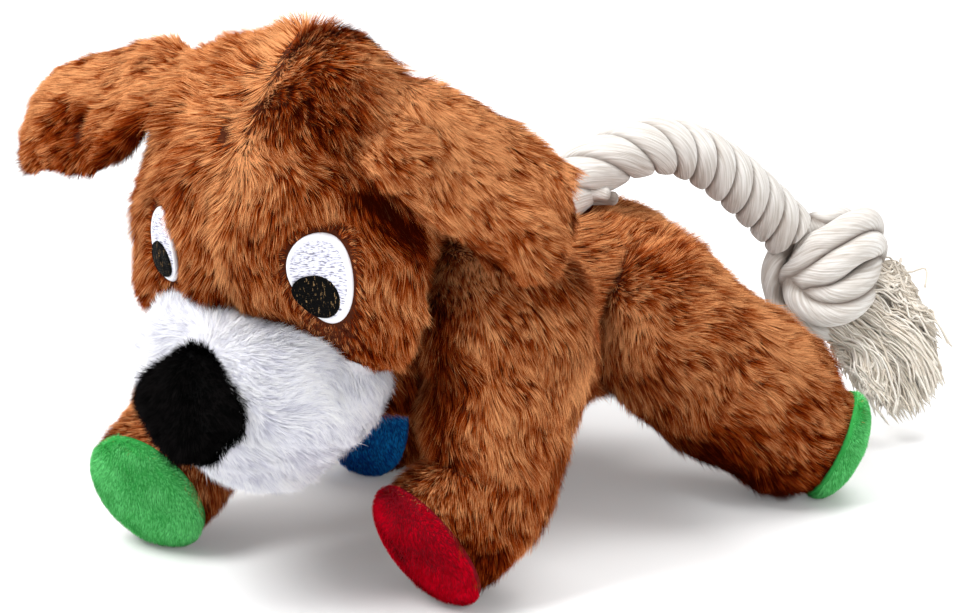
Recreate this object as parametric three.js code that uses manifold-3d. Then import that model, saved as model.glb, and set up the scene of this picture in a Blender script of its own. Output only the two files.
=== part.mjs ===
// A stuffed plush dog that stands on four short legs, with a twisted cotton rope for a tail.
// Millimetres, +Z up. The dog looks along -Y, its left side is +X and its paws stand on z = 0.

import * as THREE from 'three';
import { mergeVertices } from 'three/addons/utils/BufferGeometryUtils.js';
import Module from 'manifold-3d';

// Clearances and cutting
const gap = 0.3;
const overrun = 6;
const press_depth = 0.5;

// Head: a flat, wide face on a round back that sits in the torso's neck seat
const head_y = -73;
const head_z = 140;
const head_ball_r = 50;
const face_half_width = 62;
const face_half_depth = 33;
const face_half_height = 60;
const brow_fullness = 2.35;
const jaw_fullness = 2.8;
const cheek_bulge = 8;
const face_groove_depth = 3;
const face_groove_half_width = 6;
const crown_tuft_height = 4;
const crown_tuft_half_width = 8;
const head_room = 4.5;

// Neck seam: the ring of gathered cloth between head and torso
const neck_ring_thick = 1.6;
const neck_ring_inner_deg = 16;
const neck_ring_outer_deg = 30;
const neck_pitch_deg = 38;

// Muzzle and nose
const muzzle_forward = 20;
const muzzle_drop = 69;
const muzzle_half_width = 46;
const muzzle_half_depth = 40;
const muzzle_half_height = 36;
const muzzle_fullness = 2.7;
const chin_fullness = 1.55;
const muzzle_chin_back = 7;
const nose_width = 47;
const nose_height = 42;
const nose_bulge = 9;
const nose_rise = 10;
const nose_lean_deg = 10;

// Embroidered eyes
const eye_spacing = 70;
const eye_drop = 16;
const eye_shift = 2.5;
const eye_width = 19;
const eye_height = 33;
const pupil_width = 16;
const pupil_height = 17;
const pupil_drop = 7;
const pupil_shift = -1.5;
const stitch_thick = 1.1;

// Ears: where the seam lies on the head, and how far each tip lies out, back and down from it
const ear_width = 44;
const ear_root_thick = 10;
const ear_tip_thick = 15;
const ear_root_out = 46;
const ear_root_forward = 10;
const ear_root_rise = 29;
const ear_reach_left = 52;
const ear_reach_right = 66;
const ear_sweep_left = 33;
const ear_sweep_right = -3;
const ear_droop_left = 32;
const ear_droop_right = 28;

// Torso
const torso_front_y = -62;
const torso_rear_y = 132;
const torso_waist_z = 72;
const torso_rump_z = 70;
const torso_chest_drop = 44;
const torso_half_width = 37;
const torso_half_height = 37;
const torso_fullness = 2.3;
const flank_x = 35;

// Front legs, and the place of each sole
const shoulder_y = -30;
const shoulder_z = 90;
const shoulder_r = 33;
const shoulder_out = 23;
const foreleg_out = 25;
const ankle_r = 25;
const sole_half_width = 23;
const front_sole_half_length = 27;
const front_left_sole_x = 56;
const front_left_sole_y = -68;
const front_right_sole_x = -58;
const front_right_sole_y = -92;

// Hind legs: the left one is stretched back and outwards, the right one is tucked forward
const hip_y = 82;
const hip_z = 66;
const hip_r = 35;
const hip_out = 10;
const thigh_r = 31;
const hind_ankle_r = 22;
const hind_sole_r = 20;
const hind_left_sole_x = 96;
const hind_left_sole_y = 116;
const hind_right_sole_x = -54;
const hind_right_sole_y = 22;

// Paw pads
const pad_crown = 11;
const pad_rim = 2;

// Tail rope with its knot and its combed-out end
const rope_r = 10.5;
const rope_root_r = 12;
const rope_swing_deg = 24;
const knot_r = 24;
const knot_strand_r = 9;
const tassel_length = 46;
const tassel_neck_r = 13;
const tassel_flare_r = 20;

// Squeaker in its pocket behind the neck seat
const squeaker_y = 14;
const squeaker_r = 19;
const squeaker_height = 24;
const squeaker_wall = 1.4;
const squeaker_pleats = 3;
const squeaker_pleat_depth = 3;
const reed_r = 4;
const reed_length = 9;
const reed_flange = 2.8;
const filling_channel_r = 9;

const wasm = await Module();
wasm.setup();

const UP = new THREE.Vector3(0, 0, 1);
const LEFT = new THREE.Vector3(1, 0, 0);
const BACK = new THREE.Vector3(0, 1, 0);
const vec = (x, y, z) => new THREE.Vector3(x, y, z);
const lerp = THREE.MathUtils.lerp;
const smoothstep = THREE.MathUtils.smoothstep;
const rad = THREE.MathUtils.degToRad;
const power = (value, exponent) => Math.abs(value) ** exponent;

// Turns a closed geometry into a solid that can be joined and cut.
function solidOf(geometry) {
  const bare = geometry.clone();
  bare.deleteAttribute('normal');
  bare.deleteAttribute('uv');
  const merged = mergeVertices(bare, gap / 100);
  return new wasm.Manifold(new wasm.Mesh({
    numProp: 3,
    vertProperties: new Float32Array(merged.attributes.position.array),
    triVerts: new Uint32Array(merged.index.array),
  }));
}

// Turns a solid back into a geometry for a mesh.
function geometryOf(solid) {
  const { vertProperties, triVerts, numProp } = solid.getMesh();
  const places = [];
  for (let i = 0; i < vertProperties.length; i += numProp) {
    places.push(vertProperties[i], vertProperties[i + 1], vertProperties[i + 2]);
  }
  const geometry = new THREE.BufferGeometry();
  geometry.setAttribute('position', new THREE.Float32BufferAttribute(places, 3));
  geometry.setIndex(Array.from(triVerts));
  geometry.computeVertexNormals();
  return geometry;
}

// A closed skin over a stack of rings, with a pole at each end.
function skinOver(rings, firstPole, lastPole) {
  const sides = rings[0].length;
  const points = [firstPole, ...rings.flat(), lastPole];
  const last = points.length - 1;
  const faces = [];
  for (let j = 0; j < sides; j += 1) {
    const k = (j + 1) % sides;
    faces.push(0, 1 + k, 1 + j);
    for (let i = 0; i < rings.length - 1; i += 1) {
      const a = 1 + i * sides;
      const b = a + sides;
      faces.push(a + j, a + k, b + k, a + j, b + k, b + j);
    }
    const top = 1 + (rings.length - 1) * sides;
    faces.push(top + j, top + k, last);
  }
  const geometry = new THREE.BufferGeometry().setFromPoints(points);
  geometry.setIndex(faces);
  return geometry;
}

// A stuffed form: oval sections that swell and taper along a smooth path. `across` and `deep` are the
// half sizes at the path's points, the first along `side`, which turns to `endSide` where one is given.
// Each end is rounded over its own share of the path, or flat where that share is zero.
function stuffed({
  path, across, deep, side, endSide = side, startShare, endShare, fullness = 2, sides = 16, steps = 10,
}) {
  const curve = new THREE.CatmullRomCurve3(path);
  const spans = path.length - 1;
  const at = (values, t) => {
    const i = Math.min(Math.floor(t * spans), spans - 1);
    return lerp(values[i], values[i + 1], smoothstep(t * spans - i, 0, 1));
  };
  const shares = [];
  const roundSteps = 4;
  for (let i = 1; i < roundSteps && startShare > 0; i += 1) {
    shares.push(startShare * (1 - Math.cos((i / roundSteps) * Math.PI / 2)));
  }
  for (let i = 0; i <= steps; i += 1) shares.push(lerp(startShare, 1 - endShare, i / steps));
  for (let i = roundSteps - 1; i > 0 && endShare > 0; i -= 1) {
    shares.push(1 - endShare * (1 - Math.cos((i / roundSteps) * Math.PI / 2)));
  }
  const rings = shares.map((t) => {
    const fromStart = startShare > 0 ? Math.min(t / startShare, 1) : 1;
    const fromEnd = endShare > 0 ? Math.min((1 - t) / endShare, 1) : 1;
    const round = Math.sqrt(1 - (1 - fromStart) ** 2) * Math.sqrt(1 - (1 - fromEnd) ** 2);
    const along = curve.getTangent(t);
    const wide = side.clone().lerp(endSide, t);
    wide.addScaledVector(along, -wide.dot(along)).normalize();
    const high = along.clone().cross(wide);
    const centre = curve.getPoint(t);
    return Array.from({ length: sides }, (_, j) => {
      const turn = ((j + 0.5) / sides) * 2 * Math.PI;
      const c = Math.cos(turn);
      const s = Math.sin(turn);
      const reach = (power(c, fullness) + power(s, fullness)) ** (-1 / fullness) * round;
      return centre.clone().addScaledVector(wide, at(across, t) * c * reach)
        .addScaledVector(high, at(deep, t) * s * reach);
    });
  });
  return solidOf(skinOver(rings, path[0], path[spans]));
}

// A closed form whose skin lies at reach(direction) from its centre.
function radial(centre, reach, around = 28, down = 20) {
  const ball = new THREE.SphereGeometry(1, around, down);
  ball.rotateX(Math.PI / 2);
  const places = ball.attributes.position;
  const direction = new THREE.Vector3();
  for (let i = 0; i < places.count; i += 1) {
    direction.fromBufferAttribute(places, i).normalize();
    const point = centre.clone().addScaledVector(direction, reach(direction));
    places.setXYZ(i, point.x, point.y, point.z);
  }
  return solidOf(ball);
}
const ballAt = (centre, r, around = 28, down = 20) => radial(centre, () => r, around, down);

// A stuffed patch with a flat back and a crowned front, on a frame given by its centre, the direction
// it faces and its upright direction. outline(turn) gives its edge as [across, up].
function cushion({ centre, facing, upright, outline, rim, crown, sides = 20, steps = 4 }) {
  const out = facing.clone().normalize();
  const up = upright.clone().addScaledVector(out, -upright.dot(out)).normalize();
  const across = up.clone().cross(out);
  const ring = (share, lift) => Array.from({ length: sides }, (_, j) => {
    const [x, y] = outline(((j + 0.5) / sides) * 2 * Math.PI);
    return centre.clone().addScaledVector(across, x * share).addScaledVector(up, y * share)
      .addScaledVector(out, lift);
  });
  const rings = [ring(1, 0), ring(1, rim)];
  for (let i = 1; i < steps; i += 1) {
    const turn = (i / steps) * Math.PI / 2;
    rings.push(ring(Math.cos(turn), rim + crown * Math.sin(turn)));
  }
  return solidOf(skinOver(rings, centre, centre.clone().addScaledVector(out, rim + crown)));
}

const oval = (halfAcross, halfUp) => (turn) => [halfAcross * Math.cos(turn), halfUp * Math.sin(turn)];

// A round solid of revolution, standing on `from` and pointing along `along`.
function turned(profile, sides, from, along) {
  const points = profile.map(([r, height]) => new THREE.Vector2(r, height));
  return solidOf(new THREE.LatheGeometry(points, sides)
    .applyQuaternion(new THREE.Quaternion().setFromUnitVectors(BACK, along.clone().normalize()))
    .translate(from.x, from.y, from.z));
}

// Everything below the floor is pressed flat.
const toy_span = 4 * torso_rear_y;
const floor_block = solidOf(new THREE.BoxGeometry(toy_span, toy_span, toy_span)
  .translate(0, 0, -toy_span / 2));

const toy = new THREE.Group();
function addPart(name, solid, colour, roughness) {
  const material = new THREE.MeshStandardMaterial({ color: colour, roughness, metalness: 0 });
  const mesh = new THREE.Mesh(geometryOf(solid), material);
  mesh.name = name;
  toy.add(mesh);
}
const PLUSH = '#b46a34';
const WHITE_PLUSH = '#f1f0f6';
const BLACK = '#0b0a0b';
const RED = '#b00f24';
const GREEN = '#44b85a';
const BLUE = '#1766b4';
const COTTON = '#ece7de';

// Head
const head_centre = vec(0, head_y, head_z);
const cheek_share = vec(0.74, 0.12, -0.66);
const cheek_spread_share = 0.06;
const face_front_share = 0.35;
const face_side_share = 0.1;
const jaw_share = 0.3;
function headReach(direction, grow = 0) {
  const p = lerp(jaw_fullness, brow_fullness, smoothstep(direction.z, -jaw_share, jaw_share));
  const face = (power(direction.x / face_half_width, p) + power(direction.y / face_half_depth, p)
    + power(direction.z / face_half_height, p)) ** (-1 / p);
  const front = smoothstep(-direction.y, -face_front_share, face_side_share);
  const base = Math.max(face * front, head_ball_r);
  const point = direction.clone().multiplyScalar(base);
  const groove = face_groove_depth * Math.exp(-((point.x / face_groove_half_width) ** 2))
    * smoothstep(-direction.y, face_front_share, 2 * face_front_share);
  const tuft = crown_tuft_height
    * Math.exp(-((point.x / crown_tuft_half_width) ** 2) - ((point.y / crown_tuft_half_width) ** 2))
    * (direction.z > 0 ? 1 : 0);
  const toCheek = power(Math.abs(direction.x) - cheek_share.x, 2) + power(direction.y - cheek_share.y, 2)
    + power(direction.z - cheek_share.z, 2);
  const cheek = cheek_bulge * Math.exp(-toCheek / cheek_spread_share);
  return base - groove + tuft + cheek + grow;
}
const headForm = (grow) => radial(head_centre, (d) => headReach(d, grow), 32, 22);
const skinAt = (direction) => head_centre.clone().addScaledVector(direction, headReach(direction));

// The way that the head's skin faces in a direction, from two points of the skin beside it.
function skinFacing(direction) {
  const [first, second] = [UP, BACK].map((axis) => skinAt(direction.clone().applyAxisAngle(axis, rad(1)))
    .sub(skinAt(direction)));
  return first.cross(second).normalize();
}

// A point on the head's skin, met by going forwards from (x, z).
function faceSkin(x, z) {
  const p = jaw_fullness;
  const left = 1 - power(x / face_half_width, p) - power((z - head_z) / face_half_height, p);
  return vec(x, head_y - face_half_depth * left ** (1 / p), z);
}
addPart('head', headForm(0), PLUSH, 0.9);

// Muzzle: a full, boxy form under the face, flat behind the chin
const muzzle_centre = vec(0, head_y - muzzle_forward, head_z - muzzle_drop);
function muzzleReach(direction, grow = 0) {
  const p = lerp(chin_fullness, muzzle_fullness, smoothstep(direction.z, -jaw_share, jaw_share));
  return (power(direction.x / muzzle_half_width, p) + power(direction.y / muzzle_half_depth, p)
    + power(direction.z / muzzle_half_height, p)) ** (-1 / p) + grow;
}
const behindChin = (grow) => solidOf(new THREE.BoxGeometry(toy_span, toy_span, toy_span)
  .translate(0, head_y + muzzle_chin_back + grow + toy_span / 2, 0));
const muzzleForm = (grow) => radial(muzzle_centre, (d) => muzzleReach(d, grow), 28, 18)
  .subtract(behindChin(grow));
addPart('muzzle', muzzleForm(0).subtract(headForm(gap)), WHITE_PLUSH, 0.9);

// Nose: a rounded triangle, sewn on a little askew
const nose_facing = vec(0, -muzzle_half_height, nose_rise).normalize();
const nose_seat = muzzle_centre.clone().addScaledVector(nose_facing, muzzle_half_depth - nose_bulge);
const nose_corner_share = 0.08;
const noseOutline = (turn) => {
  const swell = 1 - nose_corner_share * Math.sin(3 * turn + rad(nose_lean_deg) * 3);
  return [nose_width / 2 * swell * Math.cos(turn), nose_height / 2 * swell * Math.sin(turn)];
};
const nose = cushion({
  centre: nose_seat, facing: nose_facing, upright: UP, outline: noseOutline,
  rim: nose_bulge + gap, crown: nose_bulge,
}).subtract(muzzleForm(gap));
addPart('nose', nose, BLACK, 0.95);

// Eyes: two layers of satin stitch that follow the face
function stitchedPatch(centre, outline, lift, thick) {
  const reach = face_half_depth;
  const block = cushion({
    centre: centre.clone().addScaledVector(BACK, reach / 2), facing: vec(0, -1, 0), upright: UP,
    outline, rim: reach, crown: overrun, sides: 18, steps: 3,
  });
  return block.intersect(headForm(lift + thick)).subtract(headForm(lift));
}
for (const [side, name] of [[1, 'left'], [-1, 'right']]) {
  const eye = faceSkin(eye_shift + side * eye_spacing / 2, head_z - eye_drop);
  const white = stitchedPatch(eye, oval(eye_width / 2, eye_height / 2), gap, stitch_thick);
  addPart(`eye_white_${name}`, white, '#f4f3f6', 0.55);
  const pupil = eye.clone().add(vec(pupil_shift, 0, -pupil_drop));
  const black = stitchedPatch(pupil, oval(pupil_width / 2, pupil_height / 2),
    gap + stitch_thick + gap, stitch_thick);
  addPart(`pupil_${name}`, black, '#101010', 0.6);
}

// Ears: flat stuffed flaps, sewn on along a line from the crown down and forwards to the side. The
// rounded root lies a gap off the skin, so that the flap turns about its middle line.
const ear_across_shares = [1.05, 1, 1, 0.92];
const ear_tip_side_share = vec(0.23, 0.52, 0.83);
function ear(side, reach, sweep, droop) {
  const outwards = vec(side * ear_root_out, -ear_root_forward, ear_root_rise).normalize();
  const seam = skinAt(outwards).addScaledVector(outwards, gap + ear_root_thick / 2);
  const along = vec(side * reach, sweep, -droop);
  const root = seam.clone().addScaledVector(along.clone().normalize(), -ear_root_thick / 2);
  const placed = (share) => root.clone().addScaledVector(along, share);
  return stuffed({
    path: [root, placed(1 / 3), placed(2 / 3), placed(1)],
    across: ear_across_shares.map((share) => share * ear_width / 2),
    deep: [ear_root_thick / 2, ear_root_thick / 2, ear_tip_thick / 2, ear_tip_thick / 2],
    side: along.clone().cross(skinFacing(outwards)).normalize(),
    endSide: vec(side * ear_tip_side_share.x, ear_tip_side_share.y, ear_tip_side_share.z),
    startShare: ear_root_thick / 2 / along.length(), endShare: 0.2, sides: 14, steps: 7,
  });
}
addPart('ear_left', ear(1, ear_reach_left, ear_sweep_left, ear_droop_left), PLUSH, 0.9);
addPart('ear_right', ear(-1, ear_reach_right, ear_sweep_right, ear_droop_right), PLUSH, 0.9);

// Torso: swells from the chest to the rump, with a round seat for the head and flat seats for the legs
const torso_across_shares = [0.85, 0.92, 1, 0.95, 0.85];
const torso_deep_shares = [0.8, 1, 1, 1, 0.95];
const torso_chest_z = head_z - torso_chest_drop;
const torso_heights = [
  torso_chest_z, (torso_chest_z + torso_waist_z) / 2, torso_waist_z, torso_rump_z, torso_rump_z,
];
const neck_ring_r = head_ball_r + gap;
const neck_seat_r = neck_ring_r + neck_ring_thick + gap;
const flank_face_x = flank_x - gap;
let torso = stuffed({
  path: torso_heights.map((z, i) => vec(0, lerp(torso_front_y, torso_rear_y, i / 4), z)),
  across: torso_across_shares.map((share) => share * torso_half_width),
  deep: torso_deep_shares.map((share) => share * torso_half_height),
  side: LEFT, startShare: 0.15, endShare: 0.2, fullness: torso_fullness, sides: 20, steps: 12,
}).intersect(solidOf(new THREE.BoxGeometry(flank_face_x * 2, toy_span, toy_span)))
  .subtract(ballAt(head_centre, neck_seat_r, 36, 26));

// Neck seam: a ring of gathered cloth that lies between the head's back and the torso's seat
const neck_axis = vec(0, Math.cos(rad(neck_pitch_deg)), -Math.sin(rad(neck_pitch_deg)));
const neckArc = (r, fromDeg, toDeg) => Array.from({ length: 4 }, (_, i) => {
  const turn = rad(lerp(fromDeg, toDeg, i / 3));
  return [r * Math.sin(turn), r * Math.cos(turn)];
});
const neck_inner = neckArc(neck_ring_r, neck_ring_inner_deg, neck_ring_outer_deg);
const neck_outer = neckArc(neck_ring_r + neck_ring_thick, neck_ring_outer_deg, neck_ring_inner_deg);
addPart('neck_seam', turned([...neck_inner, ...neck_outer, neck_inner[0]], 24, head_centre, neck_axis),
  PLUSH, 0.9);

// Squeaker: a pleated hollow bulb with a reed pushed into its neck, in a pocket of the filling
const squeaker_base = vec(0, squeaker_y, torso_waist_z - squeaker_height / 2);
const pleat_folds = squeaker_pleats * 2;
const bulbWall = (inset) => Array.from({ length: pleat_folds + 1 }, (_, i) => [
  squeaker_r - inset - (i % 2) * squeaker_pleat_depth,
  lerp(inset, squeaker_height - inset, i / pleat_folds),
]);
const reed_hole_r = reed_r + gap;
addPart('squeaker_bulb', turned([
  [reed_hole_r, 0], ...bulbWall(0), [0, squeaker_height],
  [0, squeaker_height - squeaker_wall], ...bulbWall(squeaker_wall).reverse(),
  [reed_hole_r, squeaker_wall], [reed_hole_r, 0],
], 24, squeaker_base, UP), '#e8e4d8', 0.4);
const reed_bottom = -gap - squeaker_wall;
addPart('squeaker_reed', turned([
  [0, reed_bottom], [reed_r + reed_flange, reed_bottom], [reed_r + reed_flange, -gap],
  [reed_r, -gap], [reed_r, reed_length], [0, reed_length],
], 16, squeaker_base, UP), '#f5f5f2', 0.35);
const pocket_r = squeaker_r + gap;
const pocket = turned([
  [0, reed_bottom - gap], [pocket_r, reed_bottom - gap],
  [pocket_r, squeaker_height + gap], [0, squeaker_height + gap],
], 24, squeaker_base, UP);

// The filling channel runs from the neck seat to the pocket, and the head closes it
const pocket_middle = squeaker_base.clone().addScaledVector(UP, squeaker_height / 2);
const channel_run = pocket_middle.clone().sub(head_centre);
const filling_channel = turned([
  [0, 0], [filling_channel_r, 0], [filling_channel_r, channel_run.length()], [0, channel_run.length()],
], 16, head_centre, channel_run);
torso = torso.subtract(pocket).subtract(filling_channel);

// Tail: the rope's route, from the seat on the rump to the knot
const rope_route = [
  [-2, 66, 105], [1, 77, 113.5], [5, 88, 119.5], [9, 98, 123], [14, 109, 124.5], [19, 121, 122.5],
  [24.5, 132.5, 116], [30, 144.5, 106], [35, 156, 94.5], [40, 166, 83],
].map(([x, y, z]) => vec(x, y, z));
const rope_start = rope_route[0];
const rope_end = rope_route[rope_route.length - 1];
const rope_in = rope_route[1].clone().sub(rope_start).normalize();
const rope_out = rope_end.clone().sub(rope_route[rope_route.length - 2]).normalize();
const rope_root = rope_start.clone().addScaledVector(rope_in, -rope_root_r - gap);
const rope_sides = 10;
const rope_section = new THREE.Shape(Array.from({ length: rope_sides }, (_, j) => {
  const turn = (j / rope_sides) * 2 * Math.PI;
  return new THREE.Vector2(rope_r * Math.cos(turn), rope_r * Math.sin(turn));
}));
addPart('tail_rope', solidOf(new THREE.ExtrudeGeometry(rope_section, {
  extrudePath: new THREE.CatmullRomCurve3(rope_route), steps: 12, bevelEnabled: false,
})), COTTON, 0.85);

// The rope's inner end is a round stopper that the cloth closes over, in a cup with a flared mouth
addPart('tail_root', ballAt(rope_root, rope_root_r, 18, 12), COTTON, 0.85);
const mouth_length = rope_root_r * 3;
const mouth_r = (rope_r + gap) / Math.cos(rad(rope_swing_deg));
const mouth = turned([
  [0, 0], [mouth_r, 0], [mouth_r + mouth_length * Math.tan(rad(rope_swing_deg)), mouth_length],
  [0, mouth_length],
], 20, rope_root, rope_in);
torso = torso.subtract(ballAt(rope_root, rope_root_r + gap, 24, 16)).subtract(mouth);
addPart('torso', torso, PLUSH, 0.9);

// Knot: three turns of rope drawn tight round a core
const knot_centre = rope_end.clone().addScaledVector(rope_out, gap + knot_r);
const knot_ring_r = knot_r - knot_strand_r;
const knot_turns_deg = [[0, 0], [60, 40], [120, -40]];
let knot = ballAt(knot_centre, knot_r - knot_strand_r / 2, 14, 10);
for (const [tilt, roll] of knot_turns_deg) {
  const torus = new THREE.TorusGeometry(knot_ring_r, knot_strand_r, 8, 18);
  torus.rotateX(rad(tilt)).rotateY(rad(roll)).translate(knot_centre.x, knot_centre.y, knot_centre.z);
  knot = knot.add(solidOf(torus));
}
addPart('tail_knot', knot, COTTON, 0.85);

// Tassel: the rope's end combed out into a flared tuft of yarn
const tassel_start_share = vec(0.283, 0.752, -0.591);
const tassel_hang_share = vec(0.282, 0.132, -0.947);
const tassel_flat_share = 0.75;
const tassel_start = knot_centre.clone().addScaledVector(tassel_start_share.clone().normalize(), knot_r);
const tassel_radii = [tassel_neck_r, tassel_flare_r, tassel_flare_r];
const tassel = stuffed({
  path: [0, 1 / 2, 1].map((share) => tassel_start.clone()
    .addScaledVector(tassel_hang_share.clone().normalize(), share * tassel_length)),
  across: tassel_radii, deep: tassel_radii.map((r) => r * tassel_flat_share),
  side: LEFT, startShare: 0.1, endShare: 0.25, sides: 14, steps: 5,
}).subtract(ballAt(knot_centre, knot_r + gap, 14, 10)).subtract(floor_block);
addPart('tail_tassel', tassel, '#dcd2c4', 0.9);

// A sole's height, at which the crowned pad on it presses on the floor.
function soleHeight(facing, halfLength) {
  const tilt = Math.abs(facing.z);
  const upright = Math.sqrt(1 - tilt * tilt);
  return Math.hypot(halfLength * upright, pad_crown * tilt) + pad_rim * tilt - press_depth;
}

// A leg with its flat inner face on the flank, clear of the head, and its pad.
const turning_room = headForm(head_room).add(muzzleForm(head_room));
const inner_block = solidOf(new THREE.BoxGeometry(flank_x * 2, toy_span, toy_span));
function addLeg(place, leg, sole, facing, outline, padColour) {
  addPart(`${place.replace('_', '_leg_')}`, leg.subtract(inner_block).subtract(turning_room)
    .subtract(floor_block), PLUSH, 0.9);
  addPart(`paw_pad_${place}`, cushion({
    centre: sole.clone().addScaledVector(facing, gap), facing, upright: UP, outline,
    rim: pad_rim, crown: pad_crown,
  }).subtract(floor_block), padColour, 0.85);
}

// Front legs: stuffed tubes from the shoulder down, turned forward at the paw
const foreleg_taper_share = 0.4;
function frontLeg(side, place, x, y, facing, padColour) {
  const sole = vec(x, y, soleHeight(facing, front_sole_half_length));
  const ankle = sole.clone().addScaledVector(facing, -front_sole_half_length);
  const forearm_r = lerp(ankle_r, shoulder_r, foreleg_taper_share);
  const leg = stuffed({
    path: [
      vec(side * flank_x, shoulder_y, shoulder_z + shoulder_r),
      vec(side * (flank_x + shoulder_out), shoulder_y, shoulder_z),
      vec(side * (flank_x + foreleg_out), (shoulder_y + ankle.y) / 2, (shoulder_z + ankle.z) / 2),
      ankle,
      sole,
    ],
    across: [shoulder_r, shoulder_r, forearm_r, ankle_r, sole_half_width],
    deep: [shoulder_r, shoulder_r, forearm_r, ankle_r, front_sole_half_length],
    side: LEFT, startShare: 0.2, endShare: 0, sides: 16, steps: 10,
  });
  addLeg(place, leg, sole, facing, oval(sole_half_width, front_sole_half_length), padColour);
}
const front_left_facing_share = vec(-0.3, -0.8, -0.5);
const front_right_facing_share = vec(0.12, -0.87, -0.48);
frontLeg(1, 'front_left', front_left_sole_x, front_left_sole_y,
  front_left_facing_share.clone().normalize(), RED);
frontLeg(-1, 'front_right', front_right_sole_x, front_right_sole_y,
  front_right_facing_share.clone().normalize(), GREEN);

// Hind legs: thick thighs that taper to a round sole
const hip_start_share = 0.9;
const thigh_share = 0.5;
function hindLeg(side, place, x, y, facing, padColour) {
  const sole = vec(x, y, soleHeight(facing, hind_sole_r));
  const ankle = sole.clone().addScaledVector(facing, -hind_sole_r);
  const hip = vec(side * (flank_x + hip_out), hip_y, hip_z);
  const run = ankle.clone().sub(hip);
  const start = hip.clone().addScaledVector(run.normalize(), -hip_r * hip_start_share);
  const radii = [hip_r, hip_r, thigh_r, hind_ankle_r, hind_sole_r];
  const leg = stuffed({
    path: [start, hip, hip.clone().lerp(ankle, thigh_share), ankle, sole],
    across: radii, deep: radii, side: UP, startShare: 0.2, endShare: 0, sides: 16, steps: 10,
  });
  addLeg(place, leg, sole, facing, oval(hind_sole_r, hind_sole_r), padColour);
}
const hind_left_facing_share = vec(0.7, 0.68, -0.15);
const hind_right_facing_share = vec(0.1, -0.99, 0);
hindLeg(1, 'hind_left', hind_left_sole_x, hind_left_sole_y,
  hind_left_facing_share.clone().normalize(), GREEN);
hindLeg(-1, 'hind_right', hind_right_sole_x, hind_right_sole_y,
  hind_right_facing_share.clone().normalize(), BLUE);

// The origin lies on the floor, under the middle of the toy without its rope.
const body_box = new THREE.Box3();
for (const mesh of toy.children) {
  if (!['tail_rope', 'tail_knot', 'tail_tassel'].includes(mesh.name)) body_box.expandByObject(mesh);
}
const body_middle = body_box.getCenter(new THREE.Vector3());
toy.position.set(-body_middle.x, -body_middle.y, 0);

export default toy;
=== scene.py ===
"""A stuffed plush dog with a twisted cotton rope for a tail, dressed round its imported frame."""
import math

import bpy
import numpy as np
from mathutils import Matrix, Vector


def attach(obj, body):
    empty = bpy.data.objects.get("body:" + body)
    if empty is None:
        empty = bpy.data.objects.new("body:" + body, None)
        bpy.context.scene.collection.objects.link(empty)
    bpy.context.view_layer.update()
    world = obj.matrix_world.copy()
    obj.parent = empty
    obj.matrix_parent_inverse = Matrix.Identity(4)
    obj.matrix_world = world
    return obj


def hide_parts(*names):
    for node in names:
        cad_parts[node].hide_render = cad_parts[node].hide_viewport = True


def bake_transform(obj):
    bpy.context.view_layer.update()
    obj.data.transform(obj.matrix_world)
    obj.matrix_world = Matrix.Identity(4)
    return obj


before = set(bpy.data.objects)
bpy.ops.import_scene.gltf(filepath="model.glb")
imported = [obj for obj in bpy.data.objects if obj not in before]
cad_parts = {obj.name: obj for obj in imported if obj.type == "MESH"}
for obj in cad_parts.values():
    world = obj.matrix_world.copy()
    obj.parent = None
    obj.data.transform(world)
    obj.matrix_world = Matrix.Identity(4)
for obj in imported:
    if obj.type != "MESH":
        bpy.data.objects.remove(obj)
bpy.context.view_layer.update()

# Camera and studio
# A long lens at the photograph's place, 40 degrees round from the toy's front and 17 degrees up, over a
# white floor in soft light. Places below are written from the toy's own middle line, and `home` is
# where that line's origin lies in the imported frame.
home = np.array([0.0031509, 0.0039968, 0.0])
camera_place = home + [0.8342, -0.9694, 0.4741]
camera_aim = home + [0.0351, -0.0171, 0.0940]
camera_data = bpy.data.cameras.new("camera")
camera_data.sensor_fit = "HORIZONTAL"
camera_data.lens = 136.5
camera_data.clip_start = 0.1
camera_data.clip_end = 30


def placed(name, data, place):
    """An object at a place, turned to the toy's middle."""
    item = bpy.data.objects.new(name, data)
    item.location = place
    item.rotation_euler = Vector(camera_aim - np.array(place)).to_track_quat("-Z", "Y").to_euler()
    bpy.context.scene.collection.objects.link(item)
    return item


bpy.context.scene.camera = placed("camera", camera_data, camera_place)
bpy.context.scene.view_settings.view_transform = "Standard"
for name, place, size, strength in (("key_light", (-0.35, -1.10, 1.55), 0.8, 31),
                                    ("fill_light", (1.50, -0.60, 0.75), 1.2, 7),
                                    ("top_light", (0.10, 0.70, 1.60), 1.0, 15)):
    lamp_data = bpy.data.lights.new(name, "AREA")
    lamp_data.size = size
    lamp_data.energy = strength
    placed(name, lamp_data, place)


class Wire:
    """An output of a node. Sums, differences and products of it add Math nodes."""

    def __init__(self, finish, socket):
        self.finish, self.socket = finish, socket

    def _math(operation, swapped=False):
        """The operator that adds a Math node of that operation, with its terms swapped or not."""
        def operator(self, other):
            terms = (other, self) if swapped else (self, other)
            return self.finish.node("Math", {"operation": operation}, dict(enumerate(terms)))
        return operator

    __add__, __radd__ = _math("ADD"), _math("ADD", True)
    __sub__, __rsub__ = _math("SUBTRACT"), _math("SUBTRACT", True)
    __mul__, __rmul__ = _math("MULTIPLY"), _math("MULTIPLY", True)


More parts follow.
